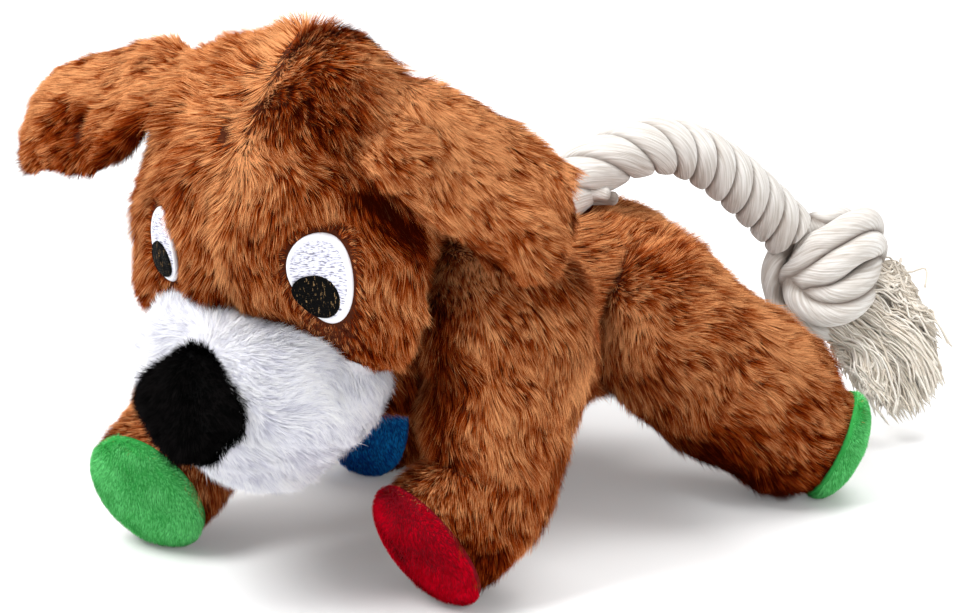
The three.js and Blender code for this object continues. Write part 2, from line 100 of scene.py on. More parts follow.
class Finish:
    """A material that is put together node by node."""

    def __init__(self, name, tree=None):
        if tree is None:
            self.material = bpy.data.materials.new(name)
            self.material.use_nodes = True
            tree = self.material.node_tree
        self.tree = tree
        tree.nodes.clear()

    def node(self, kind, settings=None, values=None, out=0):
        """A node of that type, with its settings made first and then the values or links of its sockets."""
        node = self.tree.nodes.new("ShaderNode" + kind)
        for key, setting in (settings or {}).items():
            if key == "stops":
                stops = node.color_ramp.elements
                while len(stops) < len(setting):
                    stops.new(0.5)
                for stop, (place, colour) in zip(stops, setting):
                    stop.position, stop.color = place, (*colour, 1)
            else:
                setattr(node, key, setting)
        for key, value in (values or {}).items():
            if isinstance(value, Wire):
                self.tree.links.new(value.socket, node.inputs[key])
            elif isinstance(value, tuple) and node.inputs[key].type == "RGBA":
                node.inputs[key].default_value = (*value, 1)
            else:
                node.inputs[key].default_value = value
        return Wire(self, node.outputs[out]) if node.outputs else None

    def mixed(self, share, first, second):
        """A colour between two, by a share."""
        return self.node("Mix", {"data_type": "RGBA"}, {0: share, 6: first, 7: second}, out=2)

    def ramp(self, share, stops):
        """A colour along stops of (place, colour), by a share."""
        return self.node("ValToRGB", {"stops": stops}, {0: share})

    def reading(self, attribute, out=2):
        """A number that the mesh carries, or its vector at output 1."""
        return self.node("Attribute", {"attribute_name": attribute}, out=out)

    def noise(self, size, detail=2.0, place=None, scale=None):
        """Cloudy noise of about that size in metres, on a place that is scaled along its axes."""
        place = place or self.node("TexCoord", out=3)
        if scale:
            place = self.node("Mapping", {}, {"Vector": place, "Scale": scale})
        return self.node("TexNoise", {}, {"Vector": place, "Scale": 1 / size, "Detail": detail})

    def surface(self, **values):
        """The shader itself. Bump is a height in metres."""
        bump = values.pop("bump", None)
        values = {key.replace("_", " "): value for key, value in values.items()}
        if bump is not None:
            values["Normal"] = self.node("Bump", {}, {"Height": bump, "Distance": 1.0})
        shader = self.node("BsdfPrincipled", {}, values)
        self.node("OutputMaterial", {}, {"Surface": shader})
        return self.material


light_from_sky, seen_of_sky = 0.62, 1.0
world = bpy.data.worlds.new("studio")
bpy.context.scene.world = world
world.use_nodes = True
studio = Finish("studio", world.node_tree)
seen, glossy, through = (studio.node("LightPath", out=ray) for ray in (0, 3, 4))
open_sky = studio.node("Math", {"operation": "MINIMUM"}, {0: seen + glossy + through, 1: 1.0})
brightness = light_from_sky + (seen_of_sky - light_from_sky) * open_sky
sky = studio.node("Background", {}, {"Color": (1.0, 1.0, 1.0), "Strength": brightness})
studio.node("OutputWorld", {}, {"Surface": sky})

floor_half = 4.0
glow_from, glow_to = 0.6, 2.2
floor_mesh = bpy.data.meshes.new("floor")
floor_mesh.from_pydata(
    [(-floor_half, -floor_half, 0), (floor_half, -floor_half, 0),
     (floor_half, floor_half, 0), (-floor_half, floor_half, 0)], [], [(0, 1, 2, 3)])
floor = bpy.data.objects.new("floor", floor_mesh)
bpy.context.scene.collection.objects.link(floor)
paper = Finish("floor_paper")
from_toy = paper.node("VectorMath", {"operation": "LENGTH"}, {0: paper.node("TexCoord", out=3)}, out=1)
distance = {"Value": from_toy, "From Min": glow_from, "From Max": glow_to, "To Min": 0.10, "To Max": 1.0}
glow = paper.node("LightPath", out=0) * paper.node("MapRange", {}, distance)
floor_mesh.materials.append(paper.surface(
    Base_Color=(0.93, 0.93, 0.93), Roughness=0.9, Specular_IOR_Level=0.1,
    Emission_Color=(1.0, 1.0, 1.0), Emission_Strength=glow))

# Tail rope
# Three strands of soft cotton twisted hard together, 21 mm thick, which leave the back through the
# cloth, rise in a bow and fall to the knot. Each strand is a bundle of fine yarns.
rope_route = home + np.array([
    [-2, 66, 105], [1, 77, 113.5], [5, 88, 119.5], [9, 98, 123], [14, 109, 124.5],
    [19, 121, 122.5], [24.5, 132.5, 116], [30, 144.5, 106], [35, 156, 94.5], [40, 166, 83],
]) / 1000
rope_thick = 0.021
rope_swell = 1.06
rope_lay_start, rope_lay_end, tightened_by = 0.056, 0.029, 0.55
twist_at_exit = 2.6
strand_fall, groove = 0.07, 0.15
yarns_round, yarns_follow = 54, 24
yarn_depth = 0.00010
# The second number is the strength of the painted shade in the grooves between the rope's strands.
yarn_twist, cleft_shade_strength = 0.45, 0.8
rope_side = (0.9, -0.3, 0.3)


def along_path(points, shares):
    """A smooth curve through the points, at shares from 0 to 1 of their count: each point's slope is
    half the step between its neighbours."""
    points = np.asarray(points, float)
    points = np.vstack([2 * points[0] - points[1], points, 2 * points[-1] - points[-2]])
    spans = len(points) - 3
    place = np.clip(shares, 0, 1) * spans
    first = np.minimum(place.astype(int), spans - 1)
    f = (place - first)[:, None]
    a, b, c, d = (points[first + k] for k in range(4))
    return 0.5 * (2 * b + (c - a) * f + (2 * a - 5 * b + 4 * c - d) * f**2 + (3 * b - a - 3 * c + d) * f**3)


def even_path(points, count):
    """The same curve at places an equal length apart, and that length's sum."""
    fine = along_path(points, np.linspace(0, 1, 40 * len(points)))
    walked = np.r_[0, np.cumsum(np.linalg.norm(np.diff(fine, axis=0), axis=1))]
    shares = np.interp(np.linspace(0, walked[-1], count), walked, np.linspace(0, 1, len(fine)))
    return along_path(points, shares), walked[-1]


def unit(vectors):
    """Each vector at length 1."""
    vectors = np.asarray(vectors, float)
    return vectors / np.maximum(np.linalg.norm(vectors, axis=-1, keepdims=True), 1e-12)


def round_turn(count):
    """The angles of a whole turn in equal steps."""
    return np.linspace(0, 2 * math.pi, count, endpoint=False)


def squared(ahead, side):
    """Two directions square to each way ahead: the one nearest to a side, and the one square to both."""
    wide = unit(side - ahead * (side * ahead).sum(1, keepdims=True))
    return wide, np.cross(ahead, wide)


def swept(path, side, reach, turns):
    """Rings round a path: each point lies reach from the path, at its turn from `side`, which is
    squared to the path."""
    wide, high = squared(unit(np.gradient(path, axis=0)), np.broadcast_to(side, path.shape))
    return (path[:, None] + wide[:, None] * (reach * np.cos(turns))[..., None]
            + high[:, None] * (reach * np.sin(turns))[..., None])


def built(name, points, quads, triangles, finish):
    """A smooth mesh object from arrays of points, four-cornered faces and three-cornered faces."""
    mesh = bpy.data.meshes.new(name)
    corners = np.concatenate([quads.ravel(), triangles.ravel()]).astype(np.int32)
    sizes = np.r_[np.full(len(quads), 4), np.full(len(triangles), 3)]
    mesh.vertices.add(len(points))
    mesh.vertices.foreach_set("co", np.ascontiguousarray(points, np.float32).ravel())
    mesh.loops.add(len(corners))
    mesh.loops.foreach_set("vertex_index", corners)
    mesh.polygons.add(len(sizes))
    mesh.polygons.foreach_set("loop_start", np.r_[0, np.cumsum(sizes)[:-1]].astype(np.int32))
    mesh.polygons.foreach_set("use_smooth", np.full(len(sizes), True))
    mesh.update(calc_edges=True)
    mesh.materials.append(finish)
    piece = bpy.data.objects.new(name, mesh)
    bpy.context.scene.collection.objects.link(piece)
    return piece


def carry(piece, **numbers):
    """Gives each vertex of a piece its numbers or vectors, for the material to read."""
    for name, values in numbers.items():
        values = np.ascontiguousarray(values, np.float32)
        kind, field = ("FLOAT_VECTOR", "vector") if values.ndim == 2 else ("FLOAT", "value")
        piece.data.attributes.new(name, kind, "POINT").data.foreach_set(field, values.ravel())


def settle(piece, body, node=None):
    """Rides a piece on its body, in the place of a node."""
    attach(piece, body)
    if node:
        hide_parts(node)


def yarn_places(run, turn, reach, twist=0.0):
    """Each point of a strand laid out as if the strand were straight and its twist undone, so that a
    pattern stretched along the third axis reads as yarns. Each pole takes its ring's first point."""
    places = np.stack([reach * np.cos(turn - twist), reach * np.sin(turn - twist), run], -1)
    return np.vstack([places[0, :1], places.reshape(-1, 3), places[-1, :1]])


def ring_faces(rings, around, first=0):
    """The faces of a closed tube of rings with a pole before and after it: quads, then triangles."""
    i, j = np.meshgrid(np.arange(rings - 1), np.arange(around), indexing="ij")
    k = (j + 1) % around
    a = first + 1 + i * around
    quads = np.stack([a + j, a + k, a + around + k, a + around + j], -1).reshape(-1, 4)
    j = np.arange(around)
    k = (j + 1) % around
    last = first + 1 + (rings - 1) * around
    start = np.stack([np.full(around, first), first + 1 + k, first + 1 + j], -1)
    end = np.stack([last + j, last + k, np.full(around, last + around)], -1)
    return quads, np.vstack([start, end])


def closed_tubes(name, tubes, finish):
    """One piece of several closed tubes, each an array of rings whose ends are drawn to a pole."""
    points, quads, triangles, first = [], [], [], 0
    for rings in tubes:
        points += [rings[0].mean(0)[None], rings.reshape(-1, 3), rings[-1].mean(0)[None]]
        q, t = ring_faces(rings.shape[0], rings.shape[1], first)
        quads.append(q)
        triangles.append(t)
        first += rings.shape[0] * rings.shape[1] + 2
    return built(name, np.vstack(points), np.vstack(quads), np.vstack(triangles), finish)


def rounded_ends(count, share):
    """A factor for each ring that draws both ends of a tube round over a share of its length."""
    t = np.linspace(0, 1, count)
    near = np.minimum(np.minimum(t, 1 - t) / share, 1)
    return np.sqrt(1 - (1 - near) ** 2) + 1e-4


cotton = Finish("cotton_rope")
fibre = cotton.noise(0.0009, 3.0, cotton.reading("yarns", out=1), (1.0, 1.0, 0.09))
pale_cotton = cotton.mixed(1.7 * fibre + 0.7 * cotton.noise(0.016) - 0.7,
                           (0.47, 0.415, 0.365), (0.88, 0.865, 0.835))
# The cleft attribute mixes the cotton towards a dark brown: painted shade in the grooves and valleys between
# strands.
cotton_finish = cotton.surface(
    Base_Color=cotton.mixed(cotton.reading("cleft"), pale_cotton, (0.20, 0.155, 0.125)),
    Roughness=0.88, Sheen_Weight=0.2, Specular_IOR_Level=0.15, bump=0.0005 * fibre)

route, rope_length = even_path(rope_route, 420)
run, turn = np.meshgrid(np.linspace(0, rope_length, len(route)), round_turn(132), indexing="ij")
tight = np.minimum(run / (tightened_by * rope_length), 1)
rope_lay = rope_lay_start + (rope_lay_end - rope_lay_start) * tight
twist = 2 * math.pi * np.cumsum(1 / rope_lay, axis=0) * rope_length / (len(route) - 1) + twist_at_exit
lobe = np.abs(np.mod(turn - twist, 2 * math.pi / 3) * 3 / math.pi - 1)
rope_reach = rope_swell * rope_thick / 2 * (1 - strand_fall * lobe**2 - groove * lobe**9)
rope_reach = rope_reach + yarn_depth * np.cos(yarns_round * turn - yarns_follow * twist) * (1 - lobe**4)
rope = closed_tubes("tail_rope_twist", [swept(route, rope_side, rope_reach, turn)], cotton_finish)
# Painted shade in the grooves where the three strands meet.
carry(rope, yarns=yarn_places(run, turn, rope_thick / 2, yarn_twist * twist),
      cleft=np.r_[0, (cleft_shade_strength * lobe**9).ravel(), 0])
settle(rope, "tail", "tail_rope")

# Tail knot
# The rope's end tied in one tight overhand knot: its fat strands pass over and round each other. The
# places are across, up and towards the camera from the knot's middle, in millimetres.
knot_middle = home + [0.0472, 0.1815, 0.0672]
picture_right = np.array([0.766, 0.643, 0.0])
picture_up = np.array([-0.188, 0.224, 0.956])
picture_near = np.array([0.615, -0.733, 0.292])
knot_strands = [
    (5.4, [(-18, -8, 6), (-12, -2.5, 13), (-5.9, 6.2, 16.5), (2, 11, 16.5), (9.9, 15.6, 13), (16, 17, 7),
           (18, 13, -1), (14, 8, -9)]),
    (5.4, [(-16, -10, 9), (-9.5, -6.5, 15), (-2, -3.2, 18.5), (6, 2.2, 18.5), (13.6, 6.6, 14.5),
           (18.6, 8, 7), (19, 4, 0), (14, -2, -9)]),
    (4.4, [(-12, 10, 2), (-7, 15, 4), (-0.5, 18, 5), (5, 19, 3), (10, 17, -2), (13, 12, -9)]),
    (4.4, [(-12, 14, 0), (-17.5, 6.5, 5), (-21, -1, 8), (-21, -9, 8), (-18.2, -17, 7), (-13, -23, 6),
           (-5, -26, 4), (3, -25, 1), (10, -21, -4)]),
    (4.8, [(-10, 0, 7), (-13, -7, 12.5), (-12.7, -13.1, 15.5), (-8.7, -17.2, 17), (-2.5, -19.4, 17.5),
           (4.4, -19, 17), (10, -16.3, 14.5), (14, -12, 10), (15.5, -6, 3), (13, 0, -5)]),
    (5.0, [(-14, -12, 4), (-7.5, -11, 14.5), (0.4, -11.8, 17.5), (8, -9.4, 17), (14.5, -4.8, 12),
           (17.5, 0.5, 5), (16, 5, -4)]),
    (11.5, [(-11, 10, 2), (-4, 6, 3), (4, -3, 3), (6, -13, 1)]),
    (4.7, [(-18, 8, -3), (-11, 14, -12), (0, 12, -18), (9, 6, -18), (15, -2, -12), (15, -11, -5),
           (9, -19, 1)]),
    (4.7, [(-19, -3, 0), (-15, -1, -12), (-4, 1, -18.5), (7, -6, -18), (12, -14, -11), (9, -22, -4)]),
    (4.6, [(-17, -12, 2), (-13, -12, -10), (-2, -12, -16.5), (7, -18, -12), (5, -25, -5)]),
]
strand_yarns, strand_lay, yarn_lay = 13, 0.016, 0.05
strand_swell, swell_size = 0.05, 0.02
# How strong the painted shade is in the valleys between the knot's strands, and how far it reaches.
valley_shade_strength, valley_width = 0.85, 0.0016


def in_picture(places, middle):
    """Places given in millimetres across, up and towards the camera from a middle."""
    places = np.asarray(places, float) / 1000
    return middle + places @ np.stack([picture_right, picture_up, picture_near])


def wander(places, size, seed):
    """Smooth noise from about -1 to 1: the sum of nine sine waves of about that size in metres."""
    draw = np.random.default_rng(seed)
    waves = unit(draw.normal(size=(9, 3))) * 2 * math.pi / size * draw.uniform(0.6, 1.5, (9, 1))
    return np.sin(places @ waves.T + draw.uniform(0, 2 * math.pi, 9)).sum(-1) / 3


def strand(points, radius, count=90, around=40):
    """Run, turn and rings of a closed round strand along points, ribbed by yarns that wind slowly
    round it."""
    path, length = even_path(points, count)
    run, turn = np.meshgrid(np.linspace(0, length, count), round_turn(around), indexing="ij")
    reach = radius + yarn_depth * np.cos(strand_yarns * turn - 2 * math.pi * run / strand_lay)
    swell = 1 + strand_swell * wander(path, swell_size, 31)[:, None]
    reach = reach * swell * rounded_ends(count, 0.10)[:, None]
    return run, turn, swept(path, picture_near + 0.3 * picture_up, reach, turn)


def shade_in_valleys(rings, own, paths, strands):
    """How much painted shade each place takes in the valleys between strands: near its full strength
    where the skin of any other one is within a millimetre of it, falling to 0 at about three."""
    gaps = [np.linalg.norm(rings[:, :, None] - paths[k][None, None, ::3], axis=-1).min(-1) - radius
            for k, (radius, _) in enumerate(strands) if k != own]
    return valley_shade_strength * np.exp(-(np.maximum(np.min(gaps, axis=0), 0) / valley_width) ** 2)


def strand_bundle(name, strands):
    """One piece of several cotton strands."""
    made = [strand(points, radius) for radius, points in strands]
    piece = closed_tubes(name, [rings for *_, rings in made], cotton_finish)
    inner = [rings.mean(1) for *_, rings in made]
    places = [yarn_places(run + 0.1 * k, turn, radius, 2 * math.pi * run / yarn_lay)
              for k, ((run, turn, _), (radius, _)) in enumerate(zip(made, strands))]
    # Painted shade on each strand where other strands lie close.
    cleft_shades = [np.pad(shade_in_valleys(rings, k, inner, strands).ravel(), 1)
              for k, (*_, rings) in enumerate(made)]
    carry(piece, yarns=np.vstack(places), cleft=np.concatenate(cleft_shades))
    return piece


knot = strand_bundle("tail_knot_strands",
                     [(r / 1000, in_picture(places, knot_middle)) for r, places in knot_strands])
settle(knot, "tail", "tail_knot")

# Tail stub
# Two strands of the rope's inner knot look out of the mouth in the cloth, short and round-ended, and lie
# on the back beside the rope. The places are in millimetres from home.
stub_strands = [(2.9, [(-2, 71, 107), (4, 75.8, 109.6), (10, 79.8, 111.2), (15.5, 83.5, 111.0)]),
                (2.7, [(-1, 74, 106), (5, 78.8, 108.4), (11, 82.8, 109.0), (16.5, 87, 108.8)])]
stub = strand_bundle("tail_stub_strands",
                     [(r / 1000, home + np.array(places) / 1000) for r, places in stub_strands])
settle(stub, "tail")

# Tail tassel
# Past the knot the rope is combed out: crimped cotton yarns in soft locks that leave its lower right
# side, sweep outwards and hang, with a few curly strays.
tassel_locks, lock_yarns, stray_yarns = 24, 74, 26
yarn_r = 0.00056
lock_depth_root, lock_depth_tip, lock_bow = 6.5, 9.5, 4.5
lock_crimp = np.array([1.9, 1.9, 1.4])
share_scatter, root_scatter = 0.035, 1.3
shortest_yarn = 0.72
tassel_draw = np.random.default_rng(11)
tassel_roots = np.array([(15, 1, 3), (15, -8, 4), (11, -17, 5), (3, -23, 2), (-3, -25, -3)])
tassel_tips = np.array([(33, -10, 2), (42, -25, 3), (44.5, -40, 4), (42, -53, 4), (33, -60, 4),
                        (22, -57, 3), (9, -42, 0)])


def yarn_lines(count, steps, wild, waves, reach=1.0):
    """Crimped yarns in locks. A lock leaves its place at the knot, bows outwards and ends at its place
    on the tassel's edge; its yarns lie side by side and wave together."""
    lock = np.sort(tassel_draw.integers(0, tassel_locks, count))
    share = (np.arange(tassel_locks) + tassel_draw.uniform(0.1, 0.9, tassel_locks)) / tassel_locks
    depth = np.array([0, 0, 1.0]) * tassel_draw.uniform(-1, 1, tassel_locks)[lock][:, None]
    bow = tassel_draw.uniform(0.5, 1.2, tassel_locks)[lock]
    phase = tassel_draw.uniform(0, 2 * math.pi, (tassel_locks, 3))[lock][:, None]
    pitch = tassel_draw.uniform(*waves, (tassel_locks, 3))[lock][:, None]
    yarn_share = np.clip(share[lock] + tassel_draw.normal(0, share_scatter, count), 0, 1)
    root = along_path(tassel_roots, yarn_share) + lock_depth_root * depth
    tip = along_path(tassel_tips, yarn_share) + lock_depth_tip * depth
    root = root + tassel_draw.normal(0, root_scatter, (count, 3))
    far = tassel_draw.uniform(shortest_yarn, 1.0, (count, 1)) * reach
    tip = root + (tip - root) * far + tassel_draw.normal(0, wild, (count, 3))
    t = np.linspace(0, 1, steps)[None, :, None]
    out = -unit(np.cross(tip - root, [0, 0, 1.0]))
    side = 4 * t * (1 - t) * (lock_bow * bow)[:, None, None] * out[:, None]
    crimp = lock_crimp * np.sin(2 * math.pi * (t * pitch + phase))
    size, own_pitch, own_phase = (tassel_draw.uniform(least, most, (count, 1, 3))
                                  for least, most in ((0.2, 0.6), (1.5, 3.5), (0, 1)))
    own = size * np.sin(2 * math.pi * (t * own_pitch + own_phase))
    return (1 - t) * root[:, None] + t * tip[:, None] + side + (crimp + own) * np.minimum(3 * t, 1)


def yarn_tubes(name, places, radius, finish, sides=3):
    """One piece of many thin closed yarns, each a row of places."""
    count, steps = places.shape[:2]
    ahead = unit(np.gradient(places, axis=1))
    wide = unit(np.cross(ahead, picture_near))
    high = np.cross(ahead, wide)
    turn = round_turn(sides)[:, None]
    radius = radius * rounded_ends(steps, 0.04)[None, :, None, None]
    outward = wide[:, :, None] * np.cos(turn) + high[:, :, None] * np.sin(turn)
    rings = places[:, :, None] + outward * radius
    points = np.concatenate([places[:, :1], rings.reshape(count, -1, 3), places[:, -1:]], axis=1)
    quads, triangles = ring_faces(steps, sides)
    firsts = np.arange(count)[:, None, None] * (steps * sides + 2)
    return built(name, points.reshape(-1, 3), (quads[None] + firsts).reshape(-1, 4),
                 (triangles[None] + firsts).reshape(-1, 3), finish)


frayed = Finish("frayed_cotton")
frayed_colour = frayed.mixed(0.75 * frayed.reading("tinge") + 0.5 * frayed.noise(0.004) - 0.1,
                             (0.66, 0.575, 0.47), (0.92, 0.875, 0.80))
frayed_finish = frayed.surface(Base_Color=frayed_colour, Roughness=0.9, Sheen_Weight=0.2,
                               Specular_IOR_Level=0.15)
for part, lines, node in (
        ("yarns", yarn_lines(tassel_locks * lock_yarns, 15, 1.2, (0.8, 1.8)), "tail_tassel"),
        ("strays", yarn_lines(stray_yarns, 26, 3.5, (1.6, 3.2), 1.1), None)):
    tassel = yarn_tubes(f"tail_tassel_{part}", in_picture(lines, knot_middle), yarn_r, frayed_finish)
    per_yarn = len(tassel.data.vertices) // len(lines)
    carry(tassel, tinge=np.repeat(tassel_draw.random(len(lines)), per_yarn))
    settle(tassel, "tail", node)

# Tail root
# Inside the cloth the rope ends in a small stopper knot, which the seam closes over.
root_middle = home + [-0.0046, 0.0565, 0.0976]
stopper_ring_r, stopper_strand_r = 0.0062, 0.0046
root_ring = stopper_ring_r * np.array([(math.cos(a), math.sin(a), 0.35 * math.sin(2 * a))
                                       for a in np.linspace(0, 5.6, 9)])
stopper = strand_bundle("tail_stopper_knot", [(stopper_strand_r, root_middle + root_ring[:, order])
                                              for order in ([0, 1, 2], [2, 0, 1], [1, 2, 0])])
settle(stopper, "tail_root", "tail_root")

# Torso
# A sausage of brown plush on a polyester filling, full at the chest and rump, flat at the flanks where
# the legs are sewn on, and hollowed in front for the head. Its pile lies to the rear and down.
skin_inset = 0.0025
head_middle = home + [0, -0.073, 0.140]
head_ball = 0.050
seat_gap, seat_border = 0.0026, 0.004
shoulder, shoulder_r = np.array([0, -0.030, 0.090]), 0.033
hip, hip_r = np.array([0, 0.082, 0.066]), 0.035
leg_seats = {"front": (shoulder, shoulder_r), "hind": (hip, hip_r)}
side_half = 0.0345
flank_hollow, hollow_r, hollow_fill = [0.028, 0.083], 0.020, 0.010
rope_mouth, mouth_r = home + [-0.001, 0.072, 0.108], 0.012


def eased(value, low, high):
    """0 below low, 1 above high, and smooth between."""
    t = np.clip((value - low) / (high - low), 0, 1)
    return t * t * (3 - 2 * t)


def domed(t, share):
    """The quarter circle that rises to 1 over a share of the path, or 1 all along where that is zero."""
    return np.sqrt(1 - (1 - np.minimum(t / share, 1)) ** 2) if share else np.ones(len(t))


def stuffed(path, across, deep, side, start_round, end_round, fullness=2.0, end_side=None,
            around=96, rings=120):
    """A stuffed form: oval rings along a smooth path. The half sizes are eased between the path's
    points, and each end is a dome over its share of the path, or flat where the share is zero."""
    t = (1 - np.cos(np.linspace(0.02, math.pi - 0.02, rings))) / 2
    spans = len(path) - 1
    first = np.minimum((t * spans).astype(int), spans - 1)
    share = eased(t * spans - first, 0, 1)
    across, deep = (np.asarray(v)[first] * (1 - share) + np.asarray(v)[first + 1] * share
                    for v in (across, deep))
    dome = domed(t, start_round) * domed(1 - t, end_round)
    turn = round_turn(around)
    c, s = np.cos(turn), np.sin(turn)
    oval = (np.abs(c) ** fullness + np.abs(s) ** fullness) ** (-1 / fullness)
    centre = along_path(path, t)
    side = np.asarray(side, float)
    sides = side + (np.asarray(end_side if end_side is not None else side) - side) * t[:, None]
    wide, high = squared(unit(np.gradient(centre, axis=0)), sides)
    return (centre[:, None] + wide[:, None] * (across * dome)[:, None, None] * (c * oval)[:, None]
            + high[:, None] * (deep * dome)[:, None, None] * (s * oval)[:, None])


def out_of(places, middle, reach, margin=0.0):
    """Moves the places that lie nearer than a margin to a form straight away from its middle. The form
    is given by its reach in each direction."""
    away = places - middle
    far = np.linalg.norm(away, axis=-1, keepdims=True)
    ways = away / np.maximum(far, 1e-9)
    least = reach(ways)[..., None] + margin
    return np.where(far < least, middle + ways * least, places)


def outside(places, middle, reach):
    """How far each place lies outside a form that is given by its reach in each direction."""
    away = places - middle
    far = np.linalg.norm(away, axis=-1)
    return far - reach(away / far[..., None])


def ball(ways):
    """The reach of the round seat of the head in the chest."""
    return np.full(ways.shape[:-1], head_ball + seat_gap)


def bell(places, middle, radius):
    """1 at a middle and falling away round it in a bell of that radius."""
    return np.exp(-((places - middle) ** 2).sum(-1) / radius**2)


def tone_and_painted_light(places, spots):
    """How much paler or deeper the pile is at each place: the sum of the bells of (middle, radius,
    change), in millimetres from home. The spots hold painted shade and painted highlight as well as
    the pile's own tone."""
    return sum(change * bell(places - home, np.array(middle) / 1000, radius / 1000)
               for middle, radius, change in spots)


paler_to_tip, cloud_share = 0.78, 0.12


def plush_finish(name, stops, shine=0.0):
    """Pile fibres: deep in colour at the root and paler to the tip, along the colour's own stops."""
    finish = Finish(name)
    along, tone = finish.reading("along"), finish.reading("tone")
    shade = paler_to_tip * along + tone + cloud_share * (finish.noise(0.022) - 0.5) - 0.50
    return finish.surface(Base_Color=finish.ramp(shade, stops), Roughness=0.75, Specular_IOR_Level=shine)


def backing_finish(name, dark, light):
    """The knitted backing that shows between the fibres."""
    finish = Finish(name)
    knit = finish.noise(0.0018)
    return finish.surface(Base_Color=finish.mixed(knit, dark, light), Roughness=0.95,
                          Specular_IOR_Level=0.1, bump=0.0003 * knit)


hash_turns = np.array([[127.1, 269.5, 113.5], [311.7, 183.3, 271.9], [74.7, 246.1, 124.6]])
hash_size = 43758.5453


def clumps(root, clump):
    """The middle of the clump that each root belongs to, and that clump's own number from 0 to 1. The
    middles lie one to a cubic cell, at a place that is hashed from the cell."""
    cell = np.floor(root / clump)
    nearest, best, mark = np.zeros_like(root), np.full(len(root), np.inf), np.zeros(len(root))
    for step in np.stack(np.meshgrid(*[[-1, 0, 1]] * 3), -1).reshape(-1, 3):
        here = cell + step
        hashed = np.mod(np.sin(here @ hash_turns) * hash_size, 1)
        site = (here + hashed) * clump
        gone = ((site - root) ** 2).sum(1)
        closer = gone < best
        nearest[closer], best[closer], mark[closer] = site[closer], gone[closer], hashed[closer, 0]
    return nearest, mark


def drawn_roots(base, count, draw):
    """Random places on the faces of a skin, evenly over its area, and the skin's normals there."""
    mesh = base.data
    mesh.calc_loop_triangles()
    corners = np.empty(len(mesh.loop_triangles) * 3, np.int32)
    mesh.loop_triangles.foreach_get("vertices", corners)
    corners = corners.reshape(-1, 3)
    places = np.empty(len(mesh.vertices) * 3, np.float32)
    mesh.vertices.foreach_get("co", places)
    normals = np.empty_like(places)
    mesh.vertex_normals.foreach_get("vector", normals)
    places, normals = places.reshape(-1, 3).astype(float), normals.reshape(-1, 3).astype(float)
    a, b, c = places[corners[:, 0]], places[corners[:, 1]], places[corners[:, 2]]
    area = np.linalg.norm(np.cross(b - a, c - a), axis=1)
    chosen = np.searchsorted(np.cumsum(area), draw.random(count) * area.sum())
    chosen = np.minimum(chosen, len(area) - 1)
    u, v = np.sqrt(draw.random(count)), draw.random(count)
    weights = np.stack([1 - u, u * (1 - v), u * v], -1)[..., None]
    return (places[corners[chosen]] * weights).sum(1), unit((normals[corners[chosen]] * weights).sum(1))


def as_it_is(places, normals):
    """Pile of one length, lean and tone all over."""
    return 1.0, 0.0, 0.0


least_rise, root_depth = 0.0010, 0.0008
tip_floor, root_floor = 0.0004, 0.0002
shortest, longest, length_drift = 0.72, 1.12, 0.2
lean_drift, lean_by_clump, lean_by_strand = 0.4, 0.16, 0.20
tone_by_clump, tone_by_strand, tone_by_fibre = 0.16, 0.85, 0.14
# The last of these is painted shade: how much deeper the pile is near the floor.
tone_by_patch, tone_by_spot, painted_floor_shade = 0.12, 0.07, 0.12


